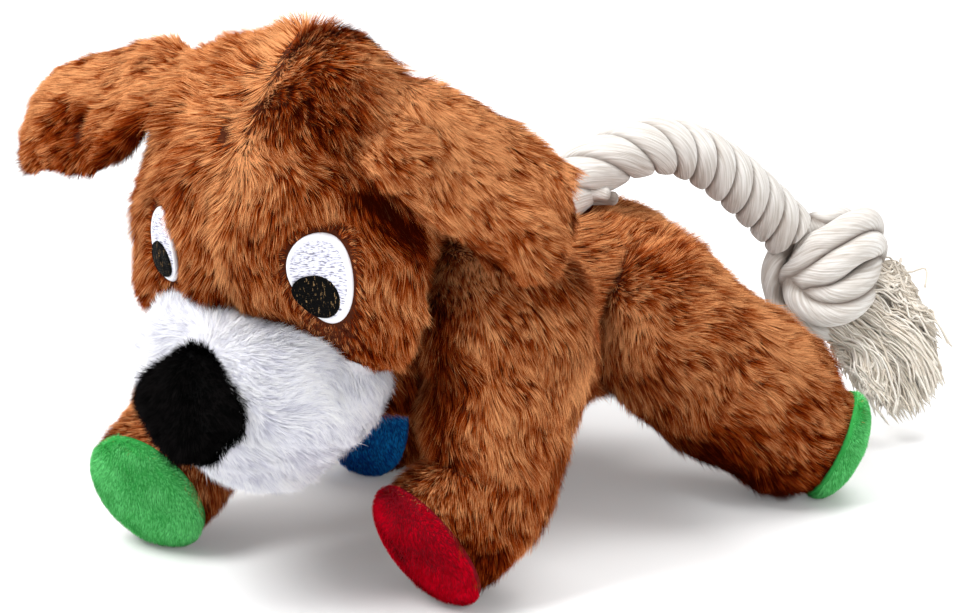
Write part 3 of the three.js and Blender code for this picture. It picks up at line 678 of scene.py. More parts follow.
def pile(name, base, flow, finish, count, length, seed, lean=0.30, thick=0.00032, clump=0.0042,
         pull=0.26, strand_size=0.0012, strand_pull=0.50, wild=0.07, local=as_it_is, bare=None, bend=0.4,
         top_light=0.20):
    """Pile on a skin: tapered fibres at random places. Each leans from the skin along the flow, its tip
    is drawn to the middle of its strand and a little to the middle of its clump of strands, and it
    carries its share along the fibre and its own tone. By top_light the tone holds painted light:
    paler where the pile faces up and deeper where it faces down. Near the floor it holds painted shade.
    local(places, normals) gives how much longer, steeper and paler it is at each place, and
    bare(places, normals) tells where none grow."""
    draw = np.random.default_rng(seed)
    root, normal = drawn_roots(base, count, draw)
    if bare is not None:
        grows = ~bare(root, normal)
        root, normal = root[grows], normal[grows]
    count = len(root)
    longer, steeper, paler = (np.broadcast_to(v, (count,))[:, None] for v in local(root, normal))

    def drift(size, number):
        """Smooth noise of the pile's own."""
        return wander(root, size, seed + number)[:, None]

    comb = flow(root)
    comb = unit(comb - normal * (comb * normal).sum(1, keepdims=True))
    comb = unit(comb + np.cross(normal, comb) * bend * drift(0.024, 1))
    middle, mark = clumps(root, clump)
    strand_middle, strand_mark = clumps(root, strand_size)
    mark, strand_mark = mark[:, None] - 0.5, strand_mark[:, None] - 0.5
    inward = pull * (middle - root) + strand_pull * (strand_middle - root)
    inward -= normal * (inward * normal).sum(1, keepdims=True)

    reach = length * longer * draw.uniform(shortest, longest, (count, 1))
    reach = reach * (1 + length_drift * drift(0.013, 2))
    stand = (lean * (1 + lean_drift * drift(0.030, 3)) + steeper + lean_by_clump * mark
             + lean_by_strand * strand_mark)
    tip = (root + reach * (normal * np.sin(stand) + comb * np.cos(stand)) + inward * np.minimum(longer, 1)
           + reach * wild * draw.normal(size=(count, 3)))
    rise = ((tip - root) * normal).sum(1, keepdims=True)
    tip += normal * np.maximum(least_rise * np.minimum(longer, 1) - rise, 0)
    tip[:, 2] = np.maximum(tip[:, 2], tip_floor)
    ahead = unit(tip - root)
    across = unit(np.cross(normal, ahead))
    across = unit(across + np.cross(ahead, across) * draw.uniform(-0.9, 0.9, (count, 1)))
    half = across * thick / 2 * draw.uniform(0.7, 1.3, (count, 1))
    low = root - root_depth * normal
    points = np.stack([low + half, tip, low - half], 1)
    points[..., 2] = np.maximum(points[..., 2], root_floor)
    piece = built(name, points.reshape(-1, 3), np.zeros((0, 4), int),
                  np.arange(3 * count).reshape(-1, 3)[:, ::-1], finish)

    # The top_light term is a painted highlight on pile that faces up and painted shade on pile that faces
    # down. The floor term is painted shade that deepens the pile near the floor.
    tone = (0.5 + tone_by_clump * mark + tone_by_strand * strand_mark
            + tone_by_fibre * draw.normal(size=(count, 1)) + tone_by_patch * drift(0.034, 4)
            + tone_by_spot * drift(0.013, 5) + top_light * normal[:, 2:]
            - painted_floor_shade * (1 - eased(root[:, 2:], 0.005, 0.060)) + paler)
    carry(piece, along=np.tile([0, 1, 0], count), tone=np.repeat(np.clip(tone, -0.3, 1.2), 3))
    facing = np.stack([0.75 * normal + 0.5 * across, 0.8 * normal + 0.3 * ahead,
                       0.75 * normal - 0.5 * across], 1)
    piece.data.normals_split_custom_set_from_vertices(unit(facing).reshape(-1, 3))
    return piece


def dress(name, body, base, fur, blended=None):
    """Makes the skin and its pile stand for a node: on its body, or, where blended is given, kept in the
    world frame on no body.
    """
    for piece in (base, fur):
        if blended:
            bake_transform(piece)
        else:
            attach(piece, body)
    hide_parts(name)


brown_fur = plush_finish("brown_plush", [
    (0.0, (0.030, 0.0025, 0.0003)), (0.22, (0.160, 0.0150, 0.0020)), (0.38, (0.255, 0.0330, 0.0042)),
    (0.56, (0.380, 0.078, 0.011)), (1.0, (0.86, 0.385, 0.155))])
brown_back = backing_finish("brown_backing", (0.035, 0.008, 0.003), (0.09, 0.02, 0.006))


def from_seat(places, seat):
    """How far each place lies from the middle of a leg's seat on the flank, in the seat's radii."""
    (_, y, z), radius = seat
    return np.hypot(places[..., 1] - home[1] - y, places[..., 2] - home[2] - z) / radius


def out_to_legs(rings):
    """Brings the torso's sides out to the flank round each leg's seat, so that no slit shows there, and
    fills the hollow between fore and hind leg."""
    side = np.abs(rings[..., 0] - home[0])
    for seat in leg_seats.values():
        near_seat = 1 - eased(from_seat(rings, seat), 0.80, 1.35)
        side = side + (side_half - side) * near_seat * eased(side, 0.010, 0.030)
    hollow = bell(rings[..., 1:] - home[1:], flank_hollow, hollow_r)
    side = side + hollow_fill * hollow * eased(side, 0.015, 0.034)
    rings = rings.copy()
    rings[..., 0] = home[0] + np.sign(rings[..., 0] - home[0]) * side
    return rings


def torso_flow(places):
    """To the rear, and down the sides."""
    aside = 0.25 * (places[:, 0] - home[0]) / torso_r
    return np.stack([aside, 0.8 + 0 * aside, -0.45 + 0 * aside], -1)


def torso_bare(places, normals):
    """None grow in the head's seat, in the legs' seats, or in the mouth where the rope comes out."""
    seat = np.linalg.norm(places - head_middle, axis=1) < head_ball + seat_border
    for leg_seat in leg_seats.values():
        seat = seat | ((from_seat(places, leg_seat) < 0.75) & (np.abs(normals[:, 0]) > 0.85))
    return seat | (np.linalg.norm(places - rope_mouth, axis=1) < mouth_r)


torso_r = 0.037
lump_rise, lump_size = 0.0012, 0.045
torso_path = home + np.array([[0, -62, 96], [0, -13.5, 84], [0, 35, 72], [0, 83.5, 70], [0, 132, 70]]) / 1000
torso_across = torso_r * np.array([0.85, 0.92, 1, 0.95, 0.85]) - skin_inset
torso_deep = torso_r * np.array([0.8, 1, 1, 1, 0.95]) - skin_inset
rings = stuffed(torso_path, torso_across, torso_deep, (1, 0, 0), 0.15, 0.2, fullness=2.3, rings=150)
rings = rings + lump_rise * wander(rings, lump_size, 5)[..., None] * np.array([1, 0.3, 1])
rings[..., 0] = home[0] + np.clip(rings[..., 0] - home[0], -side_half, side_half)
torso_skin = closed_tubes("torso_skin", [out_of(out_to_legs(rings), head_middle, ball)], brown_back)
# Spots of tone on the torso: painted shade low on the chest beside the head and the left foreleg, and two
# slighter spots, one deeper and one paler.
torso_tone_and_painted_light_spots = [((21, -43, 66), 20, -0.55), ((28, 84, 95), 11, -0.12), ((20, 20, 108), 22, 0.05)]
torso_fur = pile("torso_pile", torso_skin, torso_flow, brown_fur, count=190000, length=0.0080, seed=101,
                 bare=torso_bare, local=lambda places, normals: (1.0, 0.0, tone_and_painted_light(places, torso_tone_and_painted_light_spots)))
dress("torso", "torso", torso_skin, torso_fur)

# Neck seam
# The ring of cloth that is gathered between the head and the body, in small pleats.
neck_tilt = math.radians(38)
neck_axis = unit([0, math.cos(neck_tilt), -math.sin(neck_tilt)])
neck_side = np.array([1.0, 0, 0])
neck_up = np.cross(neck_axis, neck_side)
pleats = 26
gather_r, gather_thick, pleat_depth = head_ball + 0.0011, 0.0008, 0.0003
cone_middle, cone_half = 23, 6.5


def gathered_ring(around=312, across=14):
    """A thin ring on the head's ball between two cone angles, closed over its section, whose outer face
    rises and falls with the pleats."""
    turn = round_turn(around)[:, None]
    part = round_turn(across)[None]
    cone = np.radians(cone_middle - cone_half * np.cos(part))
    depth = gather_r + (gather_thick + pleat_depth * np.cos(pleats * turn)) * np.sin(part)
    outward = neck_side * np.cos(turn) + neck_up * np.sin(turn)
    return head_middle + depth[..., None] * (np.sin(cone)[..., None] * outward[:, None]
                                             + np.cos(cone)[..., None] * neck_axis)


grid = gathered_ring()
n, m = grid.shape[:2]
i, j = np.meshgrid(np.arange(n), np.arange(m), indexing="ij")
next_i, next_j = (i + 1) % n, (j + 1) % m
ring_quads = np.stack([i * m + j, next_i * m + j, next_i * m + next_j, i * m + next_j], -1).reshape(-1, 4)
neck = built("neck_gather", grid.reshape(-1, 3), ring_quads, np.zeros((0, 3), int), brown_back)
settle(neck, "neck", "neck_seam")

# Head
# A flat, wide face on a round back, of the same brown plush. A furrow runs down from the tuft on the
# crown between the eyes, and the pile parts along it.
face_half = np.array([0.062, 0.033, 0.060])
furrow_deep, furrow_half = 0.0032, 0.0065
tuft_rise, tuft_half = 0.004, 0.009
cheek_rise, cheek_way, cheek_spread = 0.008, (0.74, 0.12, -0.66), 0.06
face_power, face_rounder = 2.8, 0.45
box_to_ball, face_inset = 0.003, 0.0004
fuller_places = [((-0.84, -0.50, -0.10), 0.0060, 0.36), ((-0.66, -0.42, -0.62), 0.0110, 0.36),
                 ((0.93, 0.12, -0.34), 0.0042, 0.36), ((0.44, -0.10, 0.89), 0.0085, 0.34),
                 ((0.60, -0.20, 0.77), 0.0065, 0.30), ((0.16, -0.05, 0.99), 0.0012, 0.13)]
eyes = {"left": (0.0372, -0.0160, np.array([0.0095, 0.0165])),
        "right": (-0.0272, -0.0135, np.array([0.0079, 0.0138]))}
eye_front, face_front = 0.100, 0.080
eye_middles = [home + [x, -eye_front, head_middle[2] + z] for x, z, _ in eyes.values()]
muzzle_middle = home + [0, -0.093, 0.071]
muzzle_half = np.array([0.046, 0.040, 0.036])
muzzle_power, muzzle_squarer = 1.55, 1.15
muzzle_limit = home[1] - 0.064
parting_line = np.array([(0.085, 0.0), (0.120, 0.002), (0.150, 0.008), (0.161, 0.012), (0.180, 0.005),
                         (0.191, 0.010), (0.204, 0.010)])
# Spots of tone on the head: a deeper red patch over the brow, painted shadow in a dark band under the left
# ear's lower edge, and a few paler or deeper spots.
head_tone_and_painted_light_spots = [
    ((33, -95, 179), 15, -0.34), ((40, -95, 169), 10, -0.18), ((50, -92.5, 160), 6.5, -0.72),
    ((54.6, -89.8, 152.2), 7, -0.82), ((59.6, -85.4, 143.4), 7, -0.82), ((62, -78, 136), 7, -0.62),
    ((45, -85, 192), 10, 0.16), ((44, -90, 104), 12, -0.08), ((58, -80, 118), 9, 0.16),
]


def rounded_box(ways, half, p):
    """How far the skin of a box of those half sizes lies in each direction, its edges rounded: the
    larger the power p, the sharper they are."""
    x, y, z = ways[..., 0], ways[..., 1], ways[..., 2]
    powers = (np.abs(x) / half[0]) ** p + (np.abs(y) / half[1]) ** p + (np.abs(z) / half[2]) ** p
    return powers ** (-1 / p)


def head_reach(ways):
    """How far the head's skin lies from its middle in each direction: a rounded box in front that
    passes smoothly into a ball behind, with the furrow cut in and the cheeks and crown added."""
    x, y, z = ways[..., 0], ways[..., 1], ways[..., 2]
    power = face_power - face_rounder * eased(z, -0.3, 0.3)
    box = rounded_box(ways, face_half, power) * eased(-y, -0.35, 0.1)
    base = 0.5 * (box + head_ball + np.sqrt((box - head_ball) ** 2 + box_to_ball**2)) - face_inset
    across, ahead = x * base, y * base
    furrow = furrow_deep * np.exp(-((across / furrow_half) ** 2)) * eased(-y, 0.2, 0.55)
    tuft = tuft_rise * np.exp(-((across / tuft_half) ** 2) - ((ahead / tuft_half) ** 2)) * (z > 0)
    cheek = cheek_rise * np.exp(-sum(
        (way - middle) ** 2 for way, middle in zip((np.abs(x), y, z), cheek_way)) / cheek_spread)
    return base - furrow + tuft + cheek


def head_form(ways):
    """The head's form with its stuffing: fuller at the right temple and jaw, the left cheek and the
    crown, each in a bell round a direction."""
    return head_reach(ways) + sum(
        rise * bell(ways, unit(way), wide) for way, rise, wide in fuller_places)


def head_skin_reach(ways):
    """The skin under the pile: inside that form by the pile's depth."""
    return head_form(ways) - skin_inset


def globe(middle, reach, around=150, down=110):
    """Rings from pole to pole of a form given by its reach in each direction."""
    tilt = np.linspace(0, math.pi, down + 2)[1:-1][::-1]
    tilt, turn = np.meshgrid(tilt, round_turn(around), indexing="ij")
    ways = np.stack([np.sin(tilt) * np.cos(turn), np.sin(tilt) * np.sin(turn), np.cos(tilt)], -1)
    return middle + ways * reach(ways)[..., None]


def tangent_facing(way):
    """The way that the head's skin faces in a direction: across two steps of a degree on it."""
    step = math.radians(1)
    c, s = math.cos(step), math.sin(step)
    round_z = np.array([way[0] * c - way[1] * s, way[0] * s + way[1] * c, way[2]])
    round_y = np.array([way[0] * c + way[2] * s, way[1], way[2] * c - way[0] * s])
    at = [w * head_reach(w[None])[0] for w in (way, round_z, round_y)]
    return unit(np.cross(at[1] - at[0], at[2] - at[0]))


ear_sizes = {"left": (1, 0.052, 0.033, 0.032), "right": (-1, 0.066, -0.003, 0.028)}
ear_out = np.array([0.046, -0.010, 0.029])
ear_lift, ear_past = 0.0053, 0.004
ear_roots = {}
for side, (sign, reach, sweep, droop) in ear_sizes.items():
    way = unit(ear_out * [sign, 1, 1])
    seam = head_middle + way * (head_reach(way[None])[0] + ear_lift)
    along = np.array([sign * reach, sweep, -droop])
    first_side = unit(np.cross(along, tangent_facing(way)))
    ear_roots[side] = seam, unit(along), np.linalg.norm(along) + ear_past, first_side


def muzzle_reach(ways):
    """The muzzle's rounded box, fuller above than under the chin, and raised at its upper right corner."""
    raised = 0.0085 * bell(ways, unit([-0.60, -0.25, 0.78]), 0.4)
    drawn = 0.0018 * np.exp(-((ways - [-0.95, -0.1, -0.1]) ** 2).sum(-1) / 0.3)
    power = muzzle_power + muzzle_squarer * eased(ways[..., 2], -0.3, 0.3)
    return rounded_box(ways, muzzle_half, power) + raised - drawn


def inside_muzzle(places, margin):
    """True for the places ahead of its limit that lie inside the muzzle, or nearer to it than a margin."""
    return (outside(places, muzzle_middle, muzzle_reach) < margin) & (places[..., 1] < muzzle_limit)


def round_eye(places):
    """The nearer eye's middle and how far each place lies from it, 1 at the white's edge."""
    gone = np.stack([np.linalg.norm((places - middle)[:, [0, 2]] / half, axis=1)
                     for middle, (*_, half) in zip(eye_middles, eyes.values())])
    gone = np.where(places[:, 1] < home[1] - face_front, gone, 9)
    return np.array(eye_middles)[gone.argmin(0)], gone.min(0)


def off_parting(places):
    """How far to the side of the parting each place lies."""
    return places[:, 0] - home[0] - np.interp(places[:, 2], *parting_line.T)


band_behind, band_half, band_ends, band_reach = 0.017, 0.0075, (0.017, 0.027), 0.040


def over_ear(places, seam, along, first_side):
    """1 in a band where the head's pile should close over an ear's root, falling to 0 at its edges."""
    away = places - (seam - band_behind * along)
    beyond = np.abs(away @ first_side)
    return np.exp(-(((away @ along) / band_half) ** 2)) * (1 - eased(beyond, *band_ends)) * (
        np.linalg.norm(away, axis=1) < band_reach)


parting_half, pale_half, head_size = 0.004, 0.0034, 0.055
off_eye, off_eye_from, off_eye_width = 2.6, 0.95, 0.32
over_ear_comb, over_ear_length, hem_cut = 2.5, 0.65, 0.5


def head_flow(places):
    """Down the face from the parting, outwards over the crown to the ears, and off the eyes' edges."""
    side = np.tanh(off_parting(places) / parting_half)
    away = (places - head_middle) / head_size
    crown = eased(away[:, 2], 0.35, 0.85)
    behind = eased(away[:, 1], 0.0, 0.8)
    comb = np.stack([side * (0.26 + 0.60 * crown), 0.15 + 0.6 * behind, -1.0 + 0.80 * crown], -1)
    middle, gone = round_eye(places)
    outward = unit((places - middle) * [1, 0, 1])
    near_eye = np.exp(-(((gone - off_eye_from) / off_eye_width) ** 2))
    comb = unit(comb) + outward * (off_eye * near_eye)[:, None]
    for seam, along, _, first_side in ear_roots.values():
        comb = comb + over_ear_comb * along * over_ear(places, seam, along, first_side)[:, None]
    return comb


def head_local(places, normals):
    """Short round the eyes and over the muzzle's left edge, steep at the tuft, and brushed pale beside
    the parting. Its tone takes the head's spots, among them painted shadow under the left ear."""
    _, gone = round_eye(places)
    beside = np.abs(off_parting(places))
    over = sum(over_ear(places, seam, along, side) for seam, along, _, side in ear_roots.values())
    front = eased(-(places[:, 1] - home[1]), 0.055, 0.075)
    tuft = bell(places - home, [0.009, -0.078, 0.205], 0.011)
    brow = bell(places - home, [0.033, -0.095, 0.179], 0.015)
    hem = ((1 - eased(outside(places, muzzle_middle, muzzle_reach), 0.001, 0.011))
           * eased(places[:, 0] - home[0], 0.0, 0.020))
    longer = ((0.45 + 0.55 * eased(gone, 1.0, 1.8)) * (1 + 0.12 * tuft) * (1 + over_ear_length * over)
              * (1 - hem_cut * hem))
    steeper = 0.45 * tuft + 0.15 * brow + 0.3 * over + 0.10 * np.exp(-((beside / 0.003) ** 2))
    pale_parting = 0.44 * front * np.exp(-((beside / pale_half) ** 2))
    return longer, steeper, tone_and_painted_light(places, head_tone_and_painted_light_spots) + pale_parting + 0.20 * tuft - 0.08


def head_bare(places, normals):
    """None grow under the eyes' stitching or where the muzzle is sewn on."""
    return inside_muzzle(places, -0.002) | (round_eye(places)[1] < 0.97)


head_skin = closed_tubes("head_skin", [globe(head_middle, head_skin_reach)], brown_back)
head_fur = pile("head_pile", head_skin, head_flow, brown_fur, count=199000, length=0.0082, seed=202,
                bare=head_bare, local=head_local)
dress("head", "head", head_skin, head_fur)

# Eyes
# Each eye is embroidered: a white oval of satin stitch with a raised rim, and a black pupil low in it
# whose threads let a little gold show.
thread_pitch, rim_threads = 0.0009, 80
fill_rise, rim_rise, thread_rise = 0.00012, 0.00045, 0.00008
patch_back = 0.0010
pupil_aside, pupil_down, pupil_shares = 0.21, 0.40, [0.78, 0.485]


def on_head(x, z, lift):
    """The place that lies straight ahead of a place in the face's plane, raised by a lift from the
    head's form. Its depth is found by 40 steps, each halfway to the form's reach in its direction."""
    y = np.full(x.shape, -0.03)
    for _ in range(40):
        places = np.stack([x, y, z], -1)
        reach = head_form(places / np.linalg.norm(places, axis=-1, keepdims=True)) + lift
        y = 0.5 * y - 0.5 * np.sqrt(np.maximum(reach**2 - x**2 - z**2, 1e-8))
    return np.stack([x, y, z], -1)


def stitched(name, middle_x, middle_z, half, finish, lift, thick, rim, rings=44, around=160):
    """A crowned oval patch on the face. Its fill is ribbed by lying threads and its rim by threads that
    run outwards."""
    part = np.linspace(0, 1, rings + 1)[1:]
    part, turn = np.meshgrid(part, round_turn(around), indexing="ij")
    x = middle_x + half[0] * part * np.cos(turn)
    z = middle_z + half[1] * part * np.sin(turn)
    edge = eased(part, 1 - rim, 1 - rim * 0.7)
    stray = 3 * wander(np.stack([x, 0 * x, z], -1), 0.006, 3)
    fill = fill_rise * np.sin(z * 2 * math.pi / thread_pitch + stray)
    border = (rim_rise * np.sin(math.pi * np.clip((part - 1 + rim) / rim, 0, 1))
              + thread_rise * np.sin(turn * rim_threads))
    height = thick * np.sqrt(np.clip(1 - part**6, 0, 1)) + fill * (1 - edge) + border * edge
    front = on_head(x, z, lift + height)
    back = on_head(x, z, lift - patch_back)[-1:]
    patch = np.vstack([front, back])[::-1] + head_middle
    piece = closed_tubes(name, [patch], finish)
    carry(piece, rim=np.r_[0, np.vstack([edge, edge[-1:]])[::-1].ravel(), 0])
    return piece


white_thread = Finish("white_thread")
threads = white_thread.noise(0.0011, scale=(0.35, 1.0, 2.6))
gaps = white_thread.ramp(threads, [(0.35, (0.14, 0.14, 0.19)), (0.44, (0.52, 0.52, 0.66)),
                                   (0.58, (0.86, 0.86, 0.92))])
eye_colour = white_thread.mixed(white_thread.reading("rim"), gaps, (0.90, 0.90, 0.94))
white_finish = white_thread.surface(Base_Color=eye_colour, Roughness=0.45, bump=0.0002 * threads)
black_thread = Finish("black_thread")
threads = black_thread.noise(0.0012, scale=(2.4, 1.0, 0.4))
gold = black_thread.ramp(threads, [(0.62, (0.002, 0.002, 0.002)), (0.70, (0.24, 0.15, 0.07))])
black_finish = black_thread.surface(Base_Color=gold, Roughness=0.6, Specular_IOR_Level=0.04,
                                    bump=0.0002 * threads)
for side, (eye_x, eye_z, half) in eyes.items():
    white = stitched(f"eye_{side}_white_stitch", eye_x, eye_z, half, white_finish,
                     lift=-0.0020, thick=0.0010, rim=0.16)
    settle(white, "head", f"eye_white_{side}")
    pupil = stitched(f"eye_{side}_pupil_stitch", eye_x - pupil_aside * half[0],
                     eye_z - pupil_down * half[1], half * pupil_shares, black_finish,
                     lift=-0.0012, thick=0.0010, rim=0.10)
    settle(pupil, "head", f"pupil_{side}")

# Muzzle
# A full box of white plush sewn on under the face, with a longer, softer pile that runs out from the
# nose and down.
white_fur = plush_finish("white_plush", [(0.0, (0.60, 0.60, 0.70)), (0.48, (0.87, 0.875, 0.94)),
                                         (1.0, (0.985, 0.985, 1.0))])
white_back = backing_finish("white_backing", (0.75, 0.75, 0.80), (0.85, 0.85, 0.90))
muzzle_back, back_border = home[1] - 0.0665, 0.0005
muzzle_inset, leg_inset, sewn_deep = 0.003, 0.003, 0.002


def muzzle_skin_reach(ways):
    """The skin under the pile, drawn in a little more at the lower left where it nears the leg."""
    return muzzle_reach(ways) - muzzle_inset - leg_inset * bell(ways, [0.85, 0.0, -0.5], 0.5)


def muzzle_flow(places):
    """Out from the nose to the sides, and down."""
    away = (places - muzzle_middle - [0, 0, 0.012]) / muzzle_half[1]
    return np.stack([away[:, 0] * 1.2, 0.35 + 0 * away[:, 0], away[:, 2] * 0.8 - 0.45], -1)


def muzzle_bare(places, normals):
    """None grow where it lies on the face or on the chest."""
    return ((outside(places, head_middle, head_form) < -0.0015)
            | (places[:, 1] > muzzle_back - back_border))


rings = out_of(globe(muzzle_middle, muzzle_skin_reach, 120, 90), head_middle, head_reach, -sewn_deep)
rings[..., 1] = np.minimum(rings[..., 1], muzzle_back)
muzzle_skin = closed_tubes("muzzle_skin", [rings], white_back)
muzzle_fur = pile("muzzle_pile", muzzle_skin, muzzle_flow, white_fur, count=150000, length=0.0062, seed=303,
                  bare=muzzle_bare, lean=0.28, wild=0.10, clump=0.0034, bend=0.8)
dress("muzzle", "head", muzzle_skin, muzzle_fur)

# Nose
# A rounded triangle of black plush, sewn on a little askew, with a short pile that frays at its edge.
nose_facing = unit([0, -0.036, 0.010])
nose_rim, nose_crown, nose_sunk = 0.0085, 0.0075, 0.009
nose_half, nose_aside = (0.0208, 0.0172), (0.0012, -0.0015)
nose_seat = muzzle_middle + nose_facing * (muzzle_half[1] - nose_sunk)


def crowned(centre, facing, outline, rim, crown, rings=40, around=96, back_rings=8):
    """A patch with a flat back and a crowned front. Its rings run in from the back's middle, round the
    rim and over the crown."""
    up = unit([0, 0, 1] - facing * facing[2])
    across = np.cross(up, facing)
    x, y = outline(round_turn(around))
    back = np.linspace(0.05, 1, back_rings)
    dome = np.linspace(0, math.pi / 2, rings)[:-1]
    share = np.r_[back, np.cos(dome)]
    lift = np.r_[0 * back, rim + crown * np.sin(dome)]
    outline_places = across * x[:, None] + up * y[:, None]
    return centre + share[:, None, None] * outline_places + lift[:, None, None] * facing


def nose_outline(turn):
    """A rounded kite, a little askew: an oval that swells at its four points, most at the lower right."""
    swell = 1 + 0.07 * np.cos(4 * turn) + 0.05 * np.cos(turn + math.radians(45))
    return (nose_aside[0] + nose_half[0] * swell * np.cos(turn),
            nose_aside[1] + nose_half[1] * swell * np.sin(turn))


def nose_flow(places):
    """Outwards from its middle, and a little down."""
    return (places - nose_seat) * 40 - [0, 0, 0.35]


black_fur = plush_finish("black_plush", [(0.0, (0.0008, 0.0008, 0.0008)), (0.55, (0.0018, 0.0018, 0.0018)),
                                         (1.0, (0.008, 0.007, 0.007))], shine=0.01)
black_back = backing_finish("black_backing", (0.001, 0.001, 0.001), (0.004, 0.004, 0.004))
nose_skin = closed_tubes("nose_skin", [crowned(nose_seat, nose_facing, nose_outline, nose_rim, nose_crown)],
                         black_back)
nose_fur = pile("nose_pile", nose_skin, nose_flow, black_fur, count=40000, length=0.0048, seed=404,
                lean=0.35, thick=0.0003, wild=0.16,
                bare=lambda places, normals: inside_muzzle(places, -0.003))
dress("nose", "head", nose_skin, nose_fur)

# Ears
# Two flat stuffed flaps of brown plush, sewn to the head along a line from the crown down to the side.
# The pile runs to their tips, and the right one is pressed in near its tip.
ear_half = 0.020
ear_thick = [0.0040, 0.0048, 0.0050, 0.0058, 0.0062, 0.0062]
ear_widths = {"left": [0.42, 0.90, 1.05, 1.04, 1.02, 0.95], "right": [0.42, 0.92, 1.08, 1.06, 1.00, 0.84]}
ear_falls = {"left": [0, 0, 0, 0.0015, 0.0045, 0.0045], "right": [0, 0, 0, 0, 0, 0]}
ear_lobes = {"left": [], "right": [([-0.065, -0.090, 0.146], 0.021, 0.012)]}
ear_dents = {"left": [([0.0608, -0.0926, 0.172], 0.006, 0.0015)],
             "right": [([-0.0875, -0.0982, 0.1592], 0.0085, 0.0055)]}
ear_tones = {"left": 0.02, "right": -0.12}
# Dents deeper than this take a painted shadow in the ear's pile.
shadowed_dent_depth = 0.003
ear_widest = 1.05
ear_pile_start = 0.012
bend_from, bend_to = -0.004, 0.010
sunk_from, sunk_to, sunk_deep, free_at = -0.032, -0.020, 0.003, 0.003


def onto_head(rings, seam, along):
    """Lays an ear's root on the head: within 20 mm behind the seam its places pass from the head's skin
    to their own, and the very end sinks under the skin."""
    away = rings - head_middle
    far = np.linalg.norm(away, axis=-1, keepdims=True)
    gone = ((rings - seam) @ along)[..., None]
    sunk = sunk_deep * (1 - eased(gone, sunk_from, sunk_to))
    lying = head_skin_reach(away / far)[..., None] + 0.45 * (far - far.mean(1, keepdims=True)) - sunk
    free = eased(gone, sunk_to, free_at)
    return head_middle + away / far * (far * free + lying * (1 - free))


for side, (seam, along, length, first_side) in ear_roots.items():
    sign = ear_sizes[side][0]
    root = seam - along * ear_pile_start
    last_side = np.array([sign * 0.23, 0.52, 0.83])
    upward = first_side * np.sign(first_side[2])
    stations = (-0.022, -0.006, 0.20 * length, 0.47 * length, 0.74 * length, length - 0.009)
    path = [seam + along * far + upward * (ear_half * max(ear_widest - wide, 0) - fall)
            for far, wide, fall in zip(stations, ear_widths[side], ear_falls[side])]
    rings = stuffed(path, ear_half * np.array(ear_widths[side]), ear_thick, first_side, 0.10, 0.22,
                    end_side=last_side, around=88, rings=110)
    for place, radius, drop in ear_lobes[side]:
        rings = rings - np.array([0, 0, drop]) * bell(rings - home, place, radius)[..., None]
    rings = onto_head(rings, seam, along)
    front = unit(np.cross(last_side, along)) * sign
    for place, radius, deep in ear_dents[side]:
        rings = rings + front * (deep * bell(rings - home, place, radius))[..., None]
    ear_skin = closed_tubes(f"ear_{side}_skin", [rings], brown_back)

    def ear_flow(places):
        """To the ear's tip, and a little down its face."""
        return np.broadcast_to(along - 0.25 * last_side, places.shape)

    def ear_local(places, normals):
        """Paler to the upper edge and deeper to the lower one, a painted highlight and shade; a painted
        shadow in a deep dent; and short at the root.
        """
        gone = (places - root) @ along
        height = ((places - root) - gone[:, None] * along) @ unit(last_side) / ear_half
        dent = sum(bell(places - home, place, radius) * (deep > shadowed_dent_depth)
                   for place, radius, deep in ear_dents[side])
        return 0.7 + 0.3 * eased(gone, 0.0, 0.012), -0.1, 0.15 * height - 0.95 * dent + ear_tones[side]

    ear_fur = pile(f"ear_{side}_pile", ear_skin, ear_flow, brown_fur, count=95000, length=0.0078,
                   seed=500 + sign, local=ear_local)
    dress(f"ear_{side}", f"ear_{side}", ear_skin, ear_fur,
          blended=("head", f"ear_{side}", seam + along * bend_from, seam + along * bend_to))

# Front legs
# Stuffed tubes that are sewn flat to the flanks and turn forward at the paw, each closed by a round pad
# of short-pile cloth: red on the left, green on the right.
pad_crown, pad_rim, press = 0.011, 0.002, 0.0005
pad_inset, pad_lift, pad_flatter = 0.0006, 0.0003, 0.001
flank = 0.035
flank_gap, seam_border, head_gap = 0.0004, 0.0012, 0.0015
skin_floor = 0.0003
pile_starts = {"front": (0.034, -0.024, 0.119), "hind": (0.034, 0.058, 0.088)}


def sole_height(facing, half_length):
    """The height of a sole at which its crowned pad presses on the floor."""
    tilt = abs(facing[2])
    upright = math.sqrt(1 - tilt * tilt)
    return math.hypot(half_length * upright, pad_crown * tilt) + pad_rim * tilt - press


def velboa(name, dark, light):
    """Short-pile cloth, whose nap is brushed in small strokes of light and shade."""
    finish = Finish(name)
    nap = 0.35 * finish.reading("along") + 0.9 * finish.reading("tone") - 0.12
    return finish.surface(Base_Color=finish.mixed(nap, dark, light), Roughness=0.7, Specular_IOR_Level=0.0)


pad_cloths = {}
for colour, naps, backs in (
        ("red", ((0.32, 0.0006, 0.005), (0.80, 0.0015, 0.020)), ((0.12, 0.001, 0.004), (0.22, 0.002, 0.01))),
        ("green", ((0.050, 0.39, 0.075), (0.20, 0.83, 0.27)), ((0.02, 0.24, 0.035), (0.05, 0.40, 0.09))),
        ("blue", ((0.003, 0.050, 0.36), (0.020, 0.40, 1.0)), ((0.002, 0.03, 0.14), (0.005, 0.07, 0.26)))):
    pad_cloths[colour] = velboa(f"{colour}_velboa", *naps), backing_finish(f"{colour}_backing", *backs)

